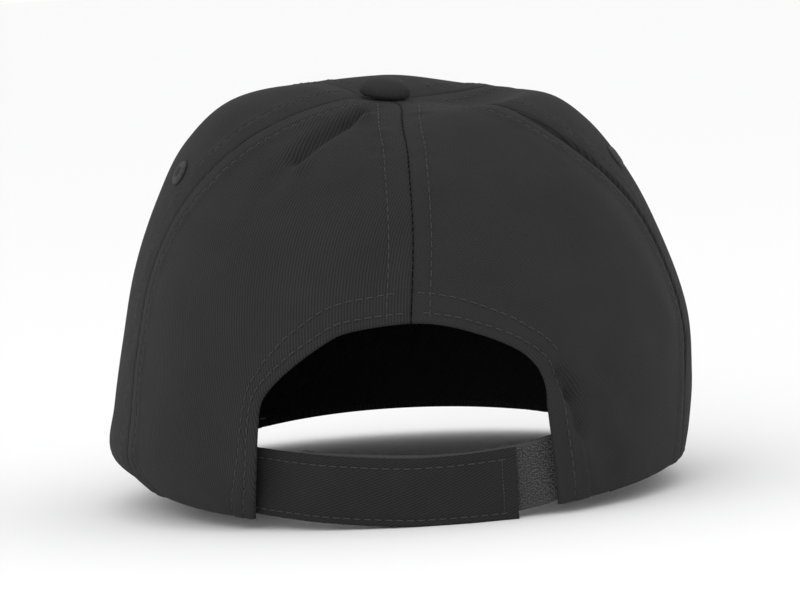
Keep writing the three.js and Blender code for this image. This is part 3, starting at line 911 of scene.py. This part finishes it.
def opening_distance(panel, share, ring):
    """The distance to the opening's edge, negative inside the opening."""
    away, _ = nearest_on_path(panel_base(panel, share, ring)[0], ARCH_PATHS[panel])
    turn = panel_turn(panel, share, ring) - PANELS[panel][2]
    plain = crown_point(turn, ring)
    height = plain[:, 2] - rim_height(turn)
    turns, rings = OPENING_EDGES[panel]
    edge = crown_point(turns, rings)
    edge_height = edge[:, 2] - rim_height(turns)
    order = np.argsort(edge_height)
    half = np.interp(height, edge_height[order], np.abs(edge[order, 0]))
    inside = (height < edge_height.max()) & (np.abs(plain[:, 0]) < half) & (ring < ABOVE_OPENING)
    return np.where(inside, -away, away)


def panel_net(panel):
    """A net of shares and rings, fine at the borders, with cuts for an arch or an eyelet."""
    fine_rings = np.linspace(0, LAST_RING, 400)
    climbed = arc_lengths(crown_point(panel_turn(panel, 0.5, fine_rings), fine_rings))
    rings = np.interp(border_steps(climbed[-1], ROW_STEP, both=False), climbed, fine_rings)
    widths = panel_widths(panel, rings)
    count = len(border_steps(widths.max(), ROW_STEP)) - 2 * FINE_STEPS - 1
    columns = [border_steps(width, ROW_STEP, count=count) / width for width in widths]
    share = np.stack(columns, -1)
    faces = net_faces(*share.shape)
    share, ring = share.ravel(), np.broadcast_to(rings, share.shape).ravel()
    if panel in ARCH_PATHS:
        value = opening_distance(panel, share, ring)
        share, ring, faces = cut_net(share, ring, value, faces, FINE)
    if panel in EYELETS:
        base, _ = panel_base(panel, share, ring)
        value = np.linalg.norm(base - eyelet_place(panel)[0], axis=1)
        share, ring, faces = cut_net(share, ring, value, faces, EYELET_ROUNDS, EYELET_ROUNDS[0])
    return share, ring, faces, np.interp(ring, fine_rings, climbed)


def build_panel(panel):
    share, ring, faces, up = panel_net(panel)
    outer, normal, roll, ditch = panel_outer(panel, share, ring)
    base, _ = panel_base(panel, share, ring)
    depth = CLOTH - roll
    lift = ((outer - base) * normal).sum(1)
    lowered = depth - np.minimum(lift + depth - THINNEST, 0) + ALLOWANCE * ditch
    inner = base - lowered[:, None] * normal
    table = np.linspace(0, LAST_RING, 60)
    across = (share - 0.5) * np.interp(ring, table, panel_widths(panel, table))
    weave = weave_turned(across, up, PANEL_WALES[panel])
    cloth = TWILL
    if panel == "back_panel_right":
        weave[:, 0] = eased_wales(weave[:, 0], across, up)
        cloth = RIGHT_TWILL_PAINTED_LIGHT
    dress(shell(panel, outer, inner, faces, weave), cloth, [panel])


for panel in PANELS:
    build_panel(panel)

# %% [markdown]
# ## Stitches
#
# A lockstitch shows as a row of short threads, each one pulled into the cloth at both ends.
# A texture would look painted on from the side, so each stitch is a small tube that follows
# the cloth and dives under it at its ends. All the stitches of one piece are one mesh.

# %% Stitches along a path
STITCH_PITCH = 3.1
STITCH_LENGTH = 2.6
THREAD_RADIUS = 0.21
STITCH_RISE = (-0.32, 0.06, 0.16, 0.17, 0.06, -0.32)
THREAD_SIDES = 6
# Points along a seam's row, and the rings where it starts at the rim and ends at the top.
ROW_POINTS = 140
ROW_RINGS = (0.08, 8.35)
# How far above the arch and above the rim the other rows start.
ABOVE_ARCH = 0.8
ABOVE_RIM = 1.2
# The centre seam's own stitches: their last ring, depth, and pitch, length and radius.
SLIT_LAST_RING = 8.6
SLIT_DEPTH = 0.75
SLIT_STITCH = (2.4, 1.1, 0.2)


def at_lengths(places, walked, rows):
    """Rows of three numbers read at places along a path."""
    return np.stack([np.interp(places, walked, rows[:, k]) for k in range(3)], -1)


def circle(sides, beside, above):
    """Directions round the circle that two axes span."""
    angles = (np.arange(sides) * 2 * np.pi / sides)[:, None]
    return np.cos(angles) * beside[..., None, :] + np.sin(angles) * above[..., None, :]


def ring_faces(rings, sides, closed=False):
    """Quads between rings of vertices, and from the last to the first if closed."""
    faces = []
    for i in range(rings if closed else rings - 1):
        up = ((i + 1) % rings - i) * sides
        for k in range(sides):
            a, b = i * sides + k, i * sides + (k + 1) % sides
            faces.append([a, b, b + up, a + up])
    return faces


def tube(points, sides, radius, outward):
    """Points and faces of a closed tube along a few points."""
    along = unit(np.gradient(points, axis=0))
    beside = unit(np.cross(along, outward))
    radii = np.broadcast_to(radius, len(points))[:, None, None]
    verts = points[:, None] + radii * circle(sides, beside, np.cross(beside, along))
    last = (len(points) - 1) * sides
    ends = [list(range(sides))[::-1], list(range(last, last + sides))]
    return verts.reshape(-1, 3), ring_faces(len(points), sides) + ends


def thread_weave(walked, sides):
    """Cloth coordinates of a thread: along it and round it."""
    along = np.repeat(walked, sides)
    return np.stack([along, np.tile(np.arange(sides) * 0.2, len(walked)), 0 * along], -1)


def join_parts(name, parts):
    """One mesh of many parts, each given by its points, faces and cloth coordinates."""
    faces, start = [], 0
    for points, quads, _ in parts:
        faces += [[k + start for k in quad] for quad in quads]
        start += len(points)
    points, _, weave = zip(*parts)
    return make_mesh(name, np.concatenate(points), faces, np.concatenate(weave))


def stitch_mesh(name, rows, pitch=STITCH_PITCH, length=STITCH_LENGTH, radius=THREAD_RADIUS):
    """All stitches of some rows, each row given as points on the cloth and normals there."""
    parts = []
    for row, normals in rows:
        walked = arc_lengths(row)
        for number in range(int((walked[-1] - length) / pitch) + 1):
            places = number * pitch + np.linspace(0, length, len(STITCH_RISE))
            outward = at_lengths(places, walked, normals)
            path = at_lengths(places, walked, row) + np.array(STITCH_RISE)[:, None] * outward
            verts, quads = tube(path, THREAD_SIDES, radius, outward)
            parts.append((verts, quads, thread_weave(places, THREAD_SIDES)))
    print(f"{name}: {len(parts)} stitches")
    dress(join_parts(name, parts), THREAD)


def place_on_crown(points):
    """The turn and ring of points near the steep part of the crown."""
    ring = np.full(len(points), 2.0)
    for _ in range(4):
        x, y = (points[:, :2] - BUTTON_LEAN * ((ring / LAST_RING) ** 2)[:, None]).T
        turn = np.degrees(np.arctan2(x, y))
        ring = solve(lambda r: crown_point(turn, r)[..., 2], points[:, 2], 0, LAST_RING - 1)
    return turn, ring


def seam_row(panel, seam, first_ring):
    """A stitch row beside a seam, found by moving off the seam until it is far enough away."""
    rings = np.linspace(first_ring, ROW_RINGS[1], ROW_POINTS)

    def share_at(inward):
        return inward if seam == PANELS[panel][0] else 1 - inward

    def distance(inward):
        return nearest_on_path(panel_base(panel, share_at(inward), rings)[0], SEAM_PATHS[seam])[0]

    inward = solve(distance, np.full(ROW_POINTS, seam_row_at(panel, seam)), 0, 0.5)
    return panel_outer(panel, share_at(inward), rings)[:2]


def arch_row_path(panel, row, from_share=0.0):
    """A stitch row beside the opening, from a share of the arch's length on."""
    walked = arc_lengths(ARCH_PATHS[panel])
    path = at_lengths(np.arange(0, walked[-1], 1.0), walked, ARCH_PATHS[panel])
    walked = arc_lengths(path)
    inward = unit(np.cross(unit(np.gradient(path, axis=0)), crown_normal(*place_on_crown(path))))
    if panel == "back_panel_left":
        inward = -inward
    moved = path + arch_row(panel, row, walked)[:, None] * inward
    moved = moved[(walked >= from_share * walked[-1]) & (moved[:, 2] > path[0, 2] + ABOVE_RIM)]
    turn, ring = place_on_crown(moved)
    share = panel_share(panel, turn + PANELS[panel][2], ring)
    inside = (share > 0) & (share < 1)
    return panel_outer(panel, share[inside], ring[inside])[:2]


back_start = ring_at_height(np.array([0.0]), OPENING_HEIGHT + ABOVE_ARCH)[0]
for panel in PANELS:
    rows = []
    for seam in PANELS[panel][:2]:
        rows.append(seam_row(panel, seam, back_start if seam == "back" else ROW_RINGS[0]))
    if panel in ARCH_PATHS:
        rows.append(arch_row_path(panel, "inner"))
        rows.append(arch_row_path(panel, "outer", 0.0 if panel == "back_panel_left" else 0.5))
    stitch_mesh(f"stitches_{panel}", rows)

# The centre seam's own stitches cross its slit, deep between the two edges.
rings = np.linspace(back_start, SLIT_LAST_RING, ROW_POINTS)
turns = seam_turn("back", rings)
normals = crown_normal(turns, rings)
sunk = crown_point(turns, rings) - SLIT_DEPTH * normals
stitch_mesh("stitches_back_seam", [(sunk, normals)], *SLIT_STITCH)

# %% [markdown]
# ## Strap and loop tab
#
# The strap is a folded band of the same twill. Its sewn end lies behind the left panel, and it
# bows out a little between the panels. The tab from the other side lies inside it: a woven tape
# with a plain selvage along both edges and a field of small loops that the hooks catch. Both
# bands follow the plan of the rim, so they are built from one function, upright, at an inset.

# %% Sizes of strap and tab
STRAP_HEIGHT = 19.6
STRAP_END_FULLER = 1.2
STRAP_THICKNESS = 2.0
STRAP_ENDS = (37.0, -17.0)
STRAP_FLAT_FROM = 1.0
STRAP_RISE = 5.6
STRAP_BOW = 2.0
STRAP_BOW_RUN = 12.0
TAB_HEIGHT = 19.4
TAB_THICKNESS = 1.8
TAB_ENDS = (-33.0, 21.0)
TAB_LOWEST_AT = -3.0
TAB_LIFT = 0.9
TAB_RISE_SEWN = 5.4
TAB_RISE_FREE = 2.7
SEWN_INSET = CLOTH + 0.6
OPENING_TURN_LEFT = float(turn_at_x(OPENING_HALVES["back_panel_left"][1], OPENING_HEIGHT / 2))


def strap_inset(turn):
    bowed = smooth_step(-turn, -OPENING_TURN_LEFT, STRAP_BOW_RUN - OPENING_TURN_LEFT)
    return SEWN_INSET - STRAP_BOW * bowed


def strap_bottom(turn):
    share = np.maximum(turn - STRAP_FLAT_FROM, 0) / (STRAP_ENDS[0] - STRAP_FLAT_FROM)
    return STRAP_RISE * share**1.15


def strap_top(turn):
    towards_end = np.maximum(STRAP_FLAT_FROM - turn, 0) / (STRAP_FLAT_FROM - STRAP_ENDS[1])
    return strap_bottom(turn) + STRAP_HEIGHT + STRAP_END_FULLER * towards_end**2


def tab_inset(turn):
    return np.maximum(strap_inset(turn) + STRAP_THICKNESS + SEAM_GAP, SEWN_INSET)


def tab_bottom(turn):
    to_sewn = np.maximum(TAB_LOWEST_AT - turn, 0) / (TAB_LOWEST_AT - TAB_ENDS[0])
    to_free = np.maximum(turn - TAB_LOWEST_AT, 0) / (TAB_ENDS[1] - TAB_LOWEST_AT)
    return TAB_LIFT + TAB_RISE_SEWN * to_sewn**2.2 + TAB_RISE_FREE * to_free**1.3


def tab_top(turn):
    return tab_bottom(turn) + TAB_HEIGHT


STRAP = (STRAP_ENDS, strap_inset, strap_bottom, strap_top)
TAB = (TAB_ENDS, tab_inset, tab_bottom, tab_top)
# Half the step, in degrees, over which a band's direction is taken.
BAND_STEP = 0.05


def band_frame(band, turn, up):
    """A point on a band's outer face, at a share of its height, and the normal there."""
    _, inset, bottom, top = band
    height = bottom(turn) + (top(turn) - bottom(turn)) * up

    def place(turn):
        return plan_point(turn, crown_radius(turn, 0) - inset(turn), height)

    return place(turn), np.cross(UP, unit(place(turn + BAND_STEP) - place(turn - BAND_STEP)))


def turns_along(band, count=400):
    """A table of turns against lengths walked along a band from its sewn end."""
    turns = np.linspace(*band[0], count)
    points, _ = band_frame(band, turns, 0 * turns + 0.5)
    return turns, arc_lengths(points * [1, 1, 0])


def band_face(band, walked, up, reach, drop):
    """A band's plain outer face, its roll, and the distances to its top, bottom and end."""
    turns, table = turns_along(band)
    turn = np.interp(walked, table, turns)
    tall = band[3](turn) - band[2](turn)
    aways = (tall * (1 - up), tall * up, table[-1] - walked)
    roll = np.max([edge_roll(away, reach, drop) for away in (*aways, walked)], axis=0)
    return *band_frame(band, turn, up), roll, aways


def band_wall(name, columns, row_step, outer_at, thickness, wale_angle, height):
    """A closed band from a function for its outer face."""
    rows = border_steps(height, row_step) / height
    walked, up = net_places(columns, rows)
    outer, normal, roll = outer_at(walked, up)
    inner = outer + (2 * roll - thickness)[:, None] * normal
    weave = weave_turned(-walked, up * height, wale_angle)
    return shell(name, outer, inner, net_faces(len(columns), len(rows)), weave)


# %% Strap
STRAP_WALES = 158
STRAP_ROLL = (1.1, 0.9)
# Each stitch row's distance from its edge, and the seed of its puckers.
STRAP_ROWS = {"top": (2.8, 41), "bottom": (1.9, 43), "end": (4.7, 47)}
# A strap is pressed flat, so its stitches pull a little less than those of the panels.
STRAP_DENT = 0.8
STRAP_PUCKER = 0.7
BAND_PUCKER_SPREAD = 2.0
STRAP_SWAY = 0.15
# Pitch, length and radius of the close stitches at the strap's end.
END_STITCH = (1.12, 0.8, 0.2)


def strap_outer(walked, up):
    """The strap's finished outer face, at a length from its sewn end and a share of its height."""
    point, normal, roll, aways = band_face(STRAP, walked, up, *STRAP_ROLL)
    offset = -roll
    for away, (row, (place, seed)) in zip(aways, STRAP_ROWS.items()):
        along = walked if row != "end" else aways[0]
        offset = offset - STRAP_DENT * stitch_dent(away, place)
        offset = offset + STRAP_PUCKER * puckers(away, along, place, seed, BAND_PUCKER_SPREAD)
    offset = offset + STRAP_SWAY * smooth_noise(30 + walked + 0.6 * aways[0], 23, 61)
    return point + offset[:, None] * normal, normal, roll


def build_strap():
    length = turns_along(STRAP)[1][-1]
    columns = border_steps(length, 1.2)
    strap = band_wall("strap", columns, 0.7, strap_outer, STRAP_THICKNESS, STRAP_WALES, STRAP_HEIGHT)
    dress(strap, STRAP_TWILL, ["strap"])
    top, bottom, end = (place for place, _ in STRAP_ROWS.values())
    along = np.linspace(2, length - 1.6, 200)
    upright = np.linspace(0.1, 0.86, 60)
    levels = (1 - top / STRAP_HEIGHT, bottom / STRAP_HEIGHT)
    stitch_mesh("stitches_strap", [strap_outer(along, 0 * along + up)[:2] for up in levels])
    end_row = strap_outer(0 * upright + length - end, upright)[:2]
    stitch_mesh("stitches_strap_end", [end_row], *END_STITCH)


# %% Loop tab
TAB_ROLL = (0.7, 0.8)
SELVAGE = 1.4
RIB_PITCH = 0.75
RIB_HEIGHT = 0.13
FIELD_SUNK = 0.25
# The tab's net is fine enough for the ribs. The loops go on a little way behind the strap.
TAB_STEP = 0.2
LOOPS_BEHIND = 2


def tab_outer(walked, up):
    """The tab's outer face: ribbed selvages, and a level field for the loops."""
    point, normal, roll, (to_top, to_bottom, _) = band_face(TAB, walked, up, *TAB_ROLL)
    beyond = np.minimum(to_top, to_bottom) - SELVAGE
    ribs = RIB_HEIGHT * np.sin(2 * np.pi * walked / RIB_PITCH) / (1 + np.exp(beyond / 0.1))
    offset = ribs - roll - FIELD_SUNK + FIELD_SUNK / (1 + np.exp(beyond / 0.15))
    return point + offset[:, None] * normal, normal, roll


def build_tab():
    """Builds the tab, and gives the length from its sewn end over which loops show."""
    turns, table = turns_along(TAB)
    columns = np.linspace(0, table[-1], int(table[-1] / TAB_STEP))
    tab = band_wall("loop_tab", columns, 1.0, tab_outer, TAB_THICKNESS, 90, TAB_HEIGHT)
    dress(tab, LOOP_TAPE, ["loop_tab"])
    return float(np.interp(-STRAP_ENDS[1] - LOOPS_BEHIND, -turns[::-1], table[::-1]))


# %% [markdown]
# The loops are far too many and too fine to weave one by one over the whole tape. They are
# made where the tape shows, in upright columns as they are knitted, each one a small arch
# that leans its own way.

# %% Loops of the tape
LOOP_ROW = 0.85
LOOP_STEP = 0.62
LOOP_HEIGHT = 0.75
LOOP_REACH = 0.32
LOOP_THREAD = 0.1
LOOP_STRAY = 0.12
LOOP_LEAN = 0.25
LOOP_SPIN = 0.6


def build_loops(shown_to):
    random = np.random.default_rng(7)
    parts = []
    bend = np.linspace(0, np.pi, 6)[:, None]
    for column in np.arange(0.6, shown_to, LOOP_ROW):
        for height in np.arange(SELVAGE + 0.3, TAB_HEIGHT - SELVAGE, LOOP_STEP):
            walked = column + random.normal(0, LOOP_STRAY)
            up = (height + random.normal(0, LOOP_STRAY)) / TAB_HEIGHT
            foot, normal, _ = tab_outer(np.array([walked]), np.array([up]))
            lean, spin = random.normal(0, LOOP_LEAN), random.normal(0, LOOP_SPIN)
            across = math.cos(spin) * unit(np.cross(UP, normal[0])) + math.sin(spin) * UP
            out = unit(normal[0] + lean * UP)
            rise = LOOP_HEIGHT * (0.8 + 0.4 * random.random())
            arch = foot[0] + LOOP_REACH * np.cos(bend) * across + rise * np.sin(bend) * out
            side = np.broadcast_to(unit(np.cross(across, out)), arch.shape)
            verts, quads = tube(arch, 4, LOOP_THREAD, side)
            parts.append((verts, quads, verts))
    print("tape_loops:", len(parts), "loops")
    dress(join_parts("tape_loops", parts), LOOP_YARN)


build_strap()
build_loops(build_tab())

# %% [markdown]
# ## Sweatband
#
# A folded band of twill lies inside the rim from one side of the opening round to the other.
# Little of it shows, so it is finished plainly: a wall with rolled edges and one stitch line.

# %% Sweatband
SWEATBAND_HEIGHT = 28.0
SWEATBAND_THICKNESS = 1.2
SWEATBAND_ENDS = (42.0, 322.0)
SWEATBAND_BELOW = 0.06
SWEATBAND_SEAT = CLOTH + SEAM_GAP
SWEATBAND_ROW = 2.4
SWEATBAND_WAVE = 0.2
SWEATBAND_ROLL = (0.8, 0.5)
SWEATBAND_DENT = 0.6
# Millimetres along the band for each degree round the crown.
SWEATBAND_RUN = 1.55
# Bands and peaks are cut on the bias, so their wales lie at 45 degrees.
BIAS = 45


def sweatband_face(turn, up, depth):
    ring = ring_at_height(turn, SWEATBAND_HEIGHT) * up - SWEATBAND_BELOW * (1 - up)
    return crown_point(turn, ring) - depth[:, None] * crown_normal(turn, np.maximum(ring, 0.02))


def build_sweatband():
    columns = np.linspace(*SWEATBAND_ENDS, 260)
    rows = border_steps(SWEATBAND_HEIGHT, 2.0) / SWEATBAND_HEIGHT
    turn, up = net_places(columns, rows)
    roll = edge_roll(SWEATBAND_HEIGHT * np.minimum(up, 1 - up), *SWEATBAND_ROLL)
    wave = np.abs(SWEATBAND_WAVE * smooth_noise(turn, 19, 71))
    dent = SWEATBAND_DENT * stitch_dent(SWEATBAND_HEIGHT * (1 - up), SWEATBAND_ROW)
    outer = sweatband_face(turn, up, SWEATBAND_SEAT + roll)
    inside = SWEATBAND_SEAT + SWEATBAND_THICKNESS
    inner = sweatband_face(turn, up, inside - roll - dent + wave)
    weave = weave_turned(turn * SWEATBAND_RUN, up * SWEATBAND_HEIGHT, BIAS)
    band = shell("sweatband", outer, inner, net_faces(len(columns), len(rows)), weave)
    dress(band, SWEATBAND_TWILL, ["sweatband"])
    along = np.linspace(SWEATBAND_ENDS[0] + 1, SWEATBAND_ENDS[1] - 1, 500)
    ring = ring_at_height(along, SWEATBAND_HEIGHT) * (1 - SWEATBAND_ROW / SWEATBAND_HEIGHT)
    normal = crown_normal(along, ring)
    stitch_mesh("stitches_sweatband", [(crown_point(along, ring) - inside * normal, -normal)])


build_sweatband()

# %% [markdown]
# ## Peak
#
# The peak is a curved board between two layers of twill, sewn under the front of the rim. The
# photo hides it behind the crown, so it follows what such caps have: a rolled outer edge and
# rows of stitching that run parallel to it.

# %% Peak
PEAK_HALF_WIDTH = 80.0
PEAK_THICKNESS = 3.0
PEAK_WIDEST_AHEAD = 85.0
PEAK_RIM_TURN = 56.0
PEAK_EDGE_TURN = 112.0
PEAK_TIP_HEIGHT = 14.0
PEAK_EDGE_UP = [1, 0.82, 0.38, 0, 0.62]
# Six stitch rows, the first one 4 mm from the edge and the others 7 mm apart.
PEAK_ROWS = 4.0 + 7.0 * np.arange(6)
PEAK_ROLL = (1.7, 1.4)
# Two layers of cloth are glued to a board, so the stitches pull less than on the panels.
PEAK_DENT = 0.7
PEAK_PUCKER = 0.5


def peak_underside(side, out):
    """A point under the peak; side runs from -1 to 1 across, out from the rim to the edge."""
    rim_turn = 180 - side * PEAK_RIM_TURN
    seat = rim_height(rim_turn) - SEAM_GAP - PEAK_THICKNESS
    inner = plan_point(rim_turn, crown_radius(rim_turn, 0) - CLOTH, seat)
    angle = np.radians(side * PEAK_EDGE_TURN)
    ahead = CROWN_REACH_FRONT + PEAK_LENGTH - PEAK_WIDEST_AHEAD
    height = PEAK_TIP_HEIGHT * smooth_at(PEAK_EDGE_UP, np.abs(side) * (len(PEAK_EDGE_UP) - 1))
    x = PEAK_HALF_WIDTH * np.sin(angle)
    y = -PEAK_WIDEST_AHEAD - ahead * np.cos(angle)
    outer = np.stack([x, y, np.maximum(height, 0)], -1)
    return inner + (outer - inner) * out[..., None]


PEAK_EDGE = peak_underside(np.linspace(-1, 1, 200), np.ones(200))


def peak_drop(points, top):
    """How far the rolled edge and the stitch rows lower one face of the peak."""
    away, along = nearest_on_path(points, PEAK_EDGE)
    drop = edge_roll(away, *PEAK_ROLL)
    for number, row in enumerate(PEAK_ROWS):
        drop = drop + PEAK_DENT * stitch_dent(away, row)
        drop = drop - PEAK_PUCKER * puckers(away, along, row, 300 + 2 * number + top, BAND_PUCKER_SPREAD)
    return drop


def peak_top(under):
    return under + (PEAK_THICKNESS - peak_drop(under, 1))[:, None] * UP


def peak_row(away):
    """A stitch row on the peak's top, at a distance from its outer edge."""
    side = np.linspace(-0.9, 0.9, 240)

    def distance(inward):
        return nearest_on_path(peak_underside(side, 1 - inward), PEAK_EDGE)[0]

    inward = solve(distance, np.full(len(side), away), 0, 0.95)
    under = peak_underside(side, 1 - inward)[np.abs(distance(inward) - away) < 0.3]
    return peak_top(under), np.tile(UP, (len(under), 1))


def build_peak():
    even = np.linspace(-1, 1, 200)
    sides = 0.5 * np.sin(np.pi / 2 * even) + 0.5 * even
    outs = np.linspace(0, 1, 70) ** 0.8
    under = peak_underside(*net_places(sides, outs))
    bottom = under + np.minimum(peak_drop(under, 0), PEAK_ROLL[1])[:, None] * UP
    weave = weave_turned(under[:, 0], under[:, 1], BIAS)
    peak = shell("peak", peak_top(under), bottom, net_faces(len(sides), len(outs)), weave)
    dress(peak, TWILL, ["peak"])
    stitch_mesh("stitches_peak", [peak_row(away) for away in PEAK_ROWS])


build_peak()

# %% [markdown]
# ## Button
#
# The button is a metal cap with cloth drawn over it and clenched inside the crown. It is
# turned from a short profile, and shallow gathers round its lower edge show that the cloth
# was pulled over a dome.

# %% Button
BUTTON_RADIUS = 7.75
BUTTON_RISE = 6.4
BUTTON_SEAT = 1.6
# Shares of the radius and of the rise, from the lower edge over the dome to its middle.
BUTTON_ROWS = np.array([
    [0.8, 0], [0.96, 0.14], [1, 0.36], [0.94, 0.6], [0.76, 0.82], [0.42, 0.96], [0, 1],
])
BUTTON_SLOPE = Vector((-0.17, 0.09, 1))
CLENCH_RADIUS = 4.4
CLENCH_THICKNESS = 0.8
CLENCH_TOP = -CLOTH - 0.2
CLENCH_FOOT = CLENCH_TOP - CLENCH_THICKNESS
BUTTON_SIDES = 96
# The cloth is gathered beyond this radius, where it turns over the lower edge.
COVERED_FROM = 5
GATHER_DEPTH = 0.16
OUT_OF_ROUND = 0.1


def build_button():
    dome = smooth_at(BUTTON_ROWS, np.linspace(0, len(BUTTON_ROWS) - 1, 40))
    dome = dome * [BUTTON_RADIUS, BUTTON_RISE] + [0, BUTTON_SEAT]
    shank = float(crown_radius(90.0, 9.0)) - 0.5
    clench = [
        [CLENCH_RADIUS, CLENCH_FOOT], [CLENCH_RADIUS, CLENCH_TOP],
        [shank, CLENCH_TOP], [shank, BUTTON_SEAT],
    ]
    profile = np.concatenate([clench, dome[:-1]])
    angle = np.arange(BUTTON_SIDES) * 2 * np.pi / BUTTON_SIDES
    radius, height = profile[:, :1], profile[:, 1:]
    covered = radius > COVERED_FROM
    skirt = np.clip(1 - np.abs(height - BUTTON_SEAT - 1.2) / 2.6, 0, 1) * covered
    gathers = GATHER_DEPTH * skirt * smooth_noise(20 + angle * 9, 2.2, 5)
    radius = radius + gathers + OUT_OF_ROUND * covered * np.sin(3 * angle + 0.6)
    body = [radius * np.cos(angle), radius * np.sin(angle), height + 0 * angle]
    tips = [[0, 0, CLENCH_FOOT], [0, 0, BUTTON_SEAT + BUTTON_RISE]]
    flat = np.concatenate([np.stack(body, -1).reshape(-1, 3), tips])
    tilt = np.array(Vector((0, 0, 1)).rotation_difference(BUTTON_SLOPE).to_matrix())
    points = flat @ tilt.T + [*BUTTON_LEAN, CROWN_HEIGHT]
    faces = ring_faces(len(profile), BUTTON_SIDES)
    foot, top = len(flat) - 2, len(flat) - 1
    for k in range(BUTTON_SIDES):
        after = (k + 1) % BUTTON_SIDES
        faces.append([foot, after, k])
        faces.append([top, foot - BUTTON_SIDES + k, foot - BUTTON_SIDES + after])
    button = make_mesh("button", points, faces, weave_turned(flat[:, 0], flat[:, 1], 60))
    dress(button, BUTTON_TWILL_PAINTED_LIGHT, ["button"])
    print("button faces:", len(faces))


build_button()

# %% [markdown]
# ## Eyelets
#
# Each side panel has one embroidered eyelet: satin stitches laid side by side round a punched
# hole, from the hole over a slight rise to the outer ring. Each thread is its own small tube
# over a plain ring that stands for the padding under them.

# %% Eyelets
EYELET_RADIUS = 3.9
EYELET_HOLE = 1.5
EYELET_RISE = 1.0
EYELET_SIDES = 48
SATIN_THREADS = 46
# How far the threads stray: at their outer ends in mm, and round the hole in radians.
SATIN_STRAY = 0.12
SATIN_TURN_STRAY = 0.012


def build_eyelet(panel, name):
    middle, normal = eyelet_place(panel)
    beside = unit(np.cross(normal, UP))
    above = np.cross(beside, normal)
    halfway = (EYELET_HOLE + EYELET_RADIUS) / 2
    section = np.array([
        [EYELET_HOLE, -2.0], [EYELET_HOLE + 0.1, -0.2], [EYELET_HOLE + 0.5, 0.55],
        [halfway, EYELET_RISE - 0.15], [EYELET_RADIUS - 0.5, 0.5], [EYELET_RADIUS, -0.1],
    ])
    padding = np.array([
        [EYELET_HOLE, -2.0], [EYELET_RADIUS - 1.4, -2.0], [EYELET_RADIUS - 1.4, -0.3],
        [EYELET_RADIUS - 0.2, -0.2], [halfway, 0.75], [EYELET_HOLE, 0.1],
    ])
    arc = smooth_at(section, np.linspace(0, len(section) - 1, 12))
    reach, height = arc[:, :1], arc[:, 1:]
    radius = 0.12 + 0.16 * (arc[:, 0] - EYELET_HOLE) / (EYELET_RADIUS - EYELET_HOLE)
    random = np.random.default_rng(11)
    parts = []
    for number in range(SATIN_THREADS):
        turn = 2 * np.pi * number / SATIN_THREADS + random.normal(0, SATIN_TURN_STRAY)
        out = math.cos(turn) * beside + math.sin(turn) * above
        strayed = reach + (reach > EYELET_RADIUS - 1) * random.normal(0, SATIN_STRAY)
        path = middle + strayed * out + height * normal
        outward = np.broadcast_to(normal + 0.001 * np.cross(out, normal), path.shape)
        verts, quads = tube(path, THREAD_SIDES, radius, outward)
        parts.append((verts, quads, thread_weave(arc[:, 0], THREAD_SIDES)))
    out = circle(EYELET_SIDES, beside, above)
    ring = (middle + padding[:, None, :1] * out + padding[:, None, 1:] * normal).reshape(-1, 3)
    parts.append((ring, ring_faces(len(padding), EYELET_SIDES, closed=True), ring))
    dress(join_parts(name, parts), EYELET_THREAD_PAINTED_HIGHLIGHT, [name])
    print(name, "threads:", SATIN_THREADS)


build_eyelet("side_panel_left", "eyelet_left")
build_eyelet("side_panel_right", "eyelet_right")

# %% [markdown]
# ## Floor and light
#
# A product photo on white is lit from all round, so the cap has hardly any shadow side. A pale
# world gives that even light, and one broad lamp behind the camera models the cloth softly.

# %% Floor, world and lamp
FLOOR_SIZE = 120.0


def make_floor():
    mesh = bpy.data.meshes.new("floor")
    half = FLOOR_SIZE / 2
    corners = [(-half, -half, 0), (half, -half, 0), (half, half, 0), (-half, half, 0)]
    mesh.from_pydata(corners, [], [(0, 1, 2, 3)])
    floor = bpy.data.objects.new("floor", mesh)
    bpy.context.scene.collection.objects.link(floor)
    material, tree = new_material("painted_floor")
    add_surface(tree, {"Base Color": linear("#fafafa"), "Roughness": 0.9})
    mesh.materials.append(material)


def make_lamp(name, place, size, power):
    data = bpy.data.lights.new(name, "AREA")
    data.shape = "DISK"
    data.size = size
    data.energy = power
    lamp = bpy.data.objects.new(name, data)
    bpy.context.scene.collection.objects.link(lamp)
    lamp.location = place
    lamp.rotation_euler = (Vector((0, 0, 0.06)) - Vector(place)).to_track_quat("-Z", "Y").to_euler()


make_floor()
world = bpy.data.worlds.new("studio")
world.use_nodes = True
background = world.node_tree.nodes["Background"].inputs
background["Color"].default_value = linear("#ffffff")
background["Strength"].default_value = 1.0
bpy.context.scene.world = world
make_lamp("lamp_key", (0.5, 2.0, 0.7), 1.4, 14)
bpy.context.scene.view_settings.view_transform = "Standard"
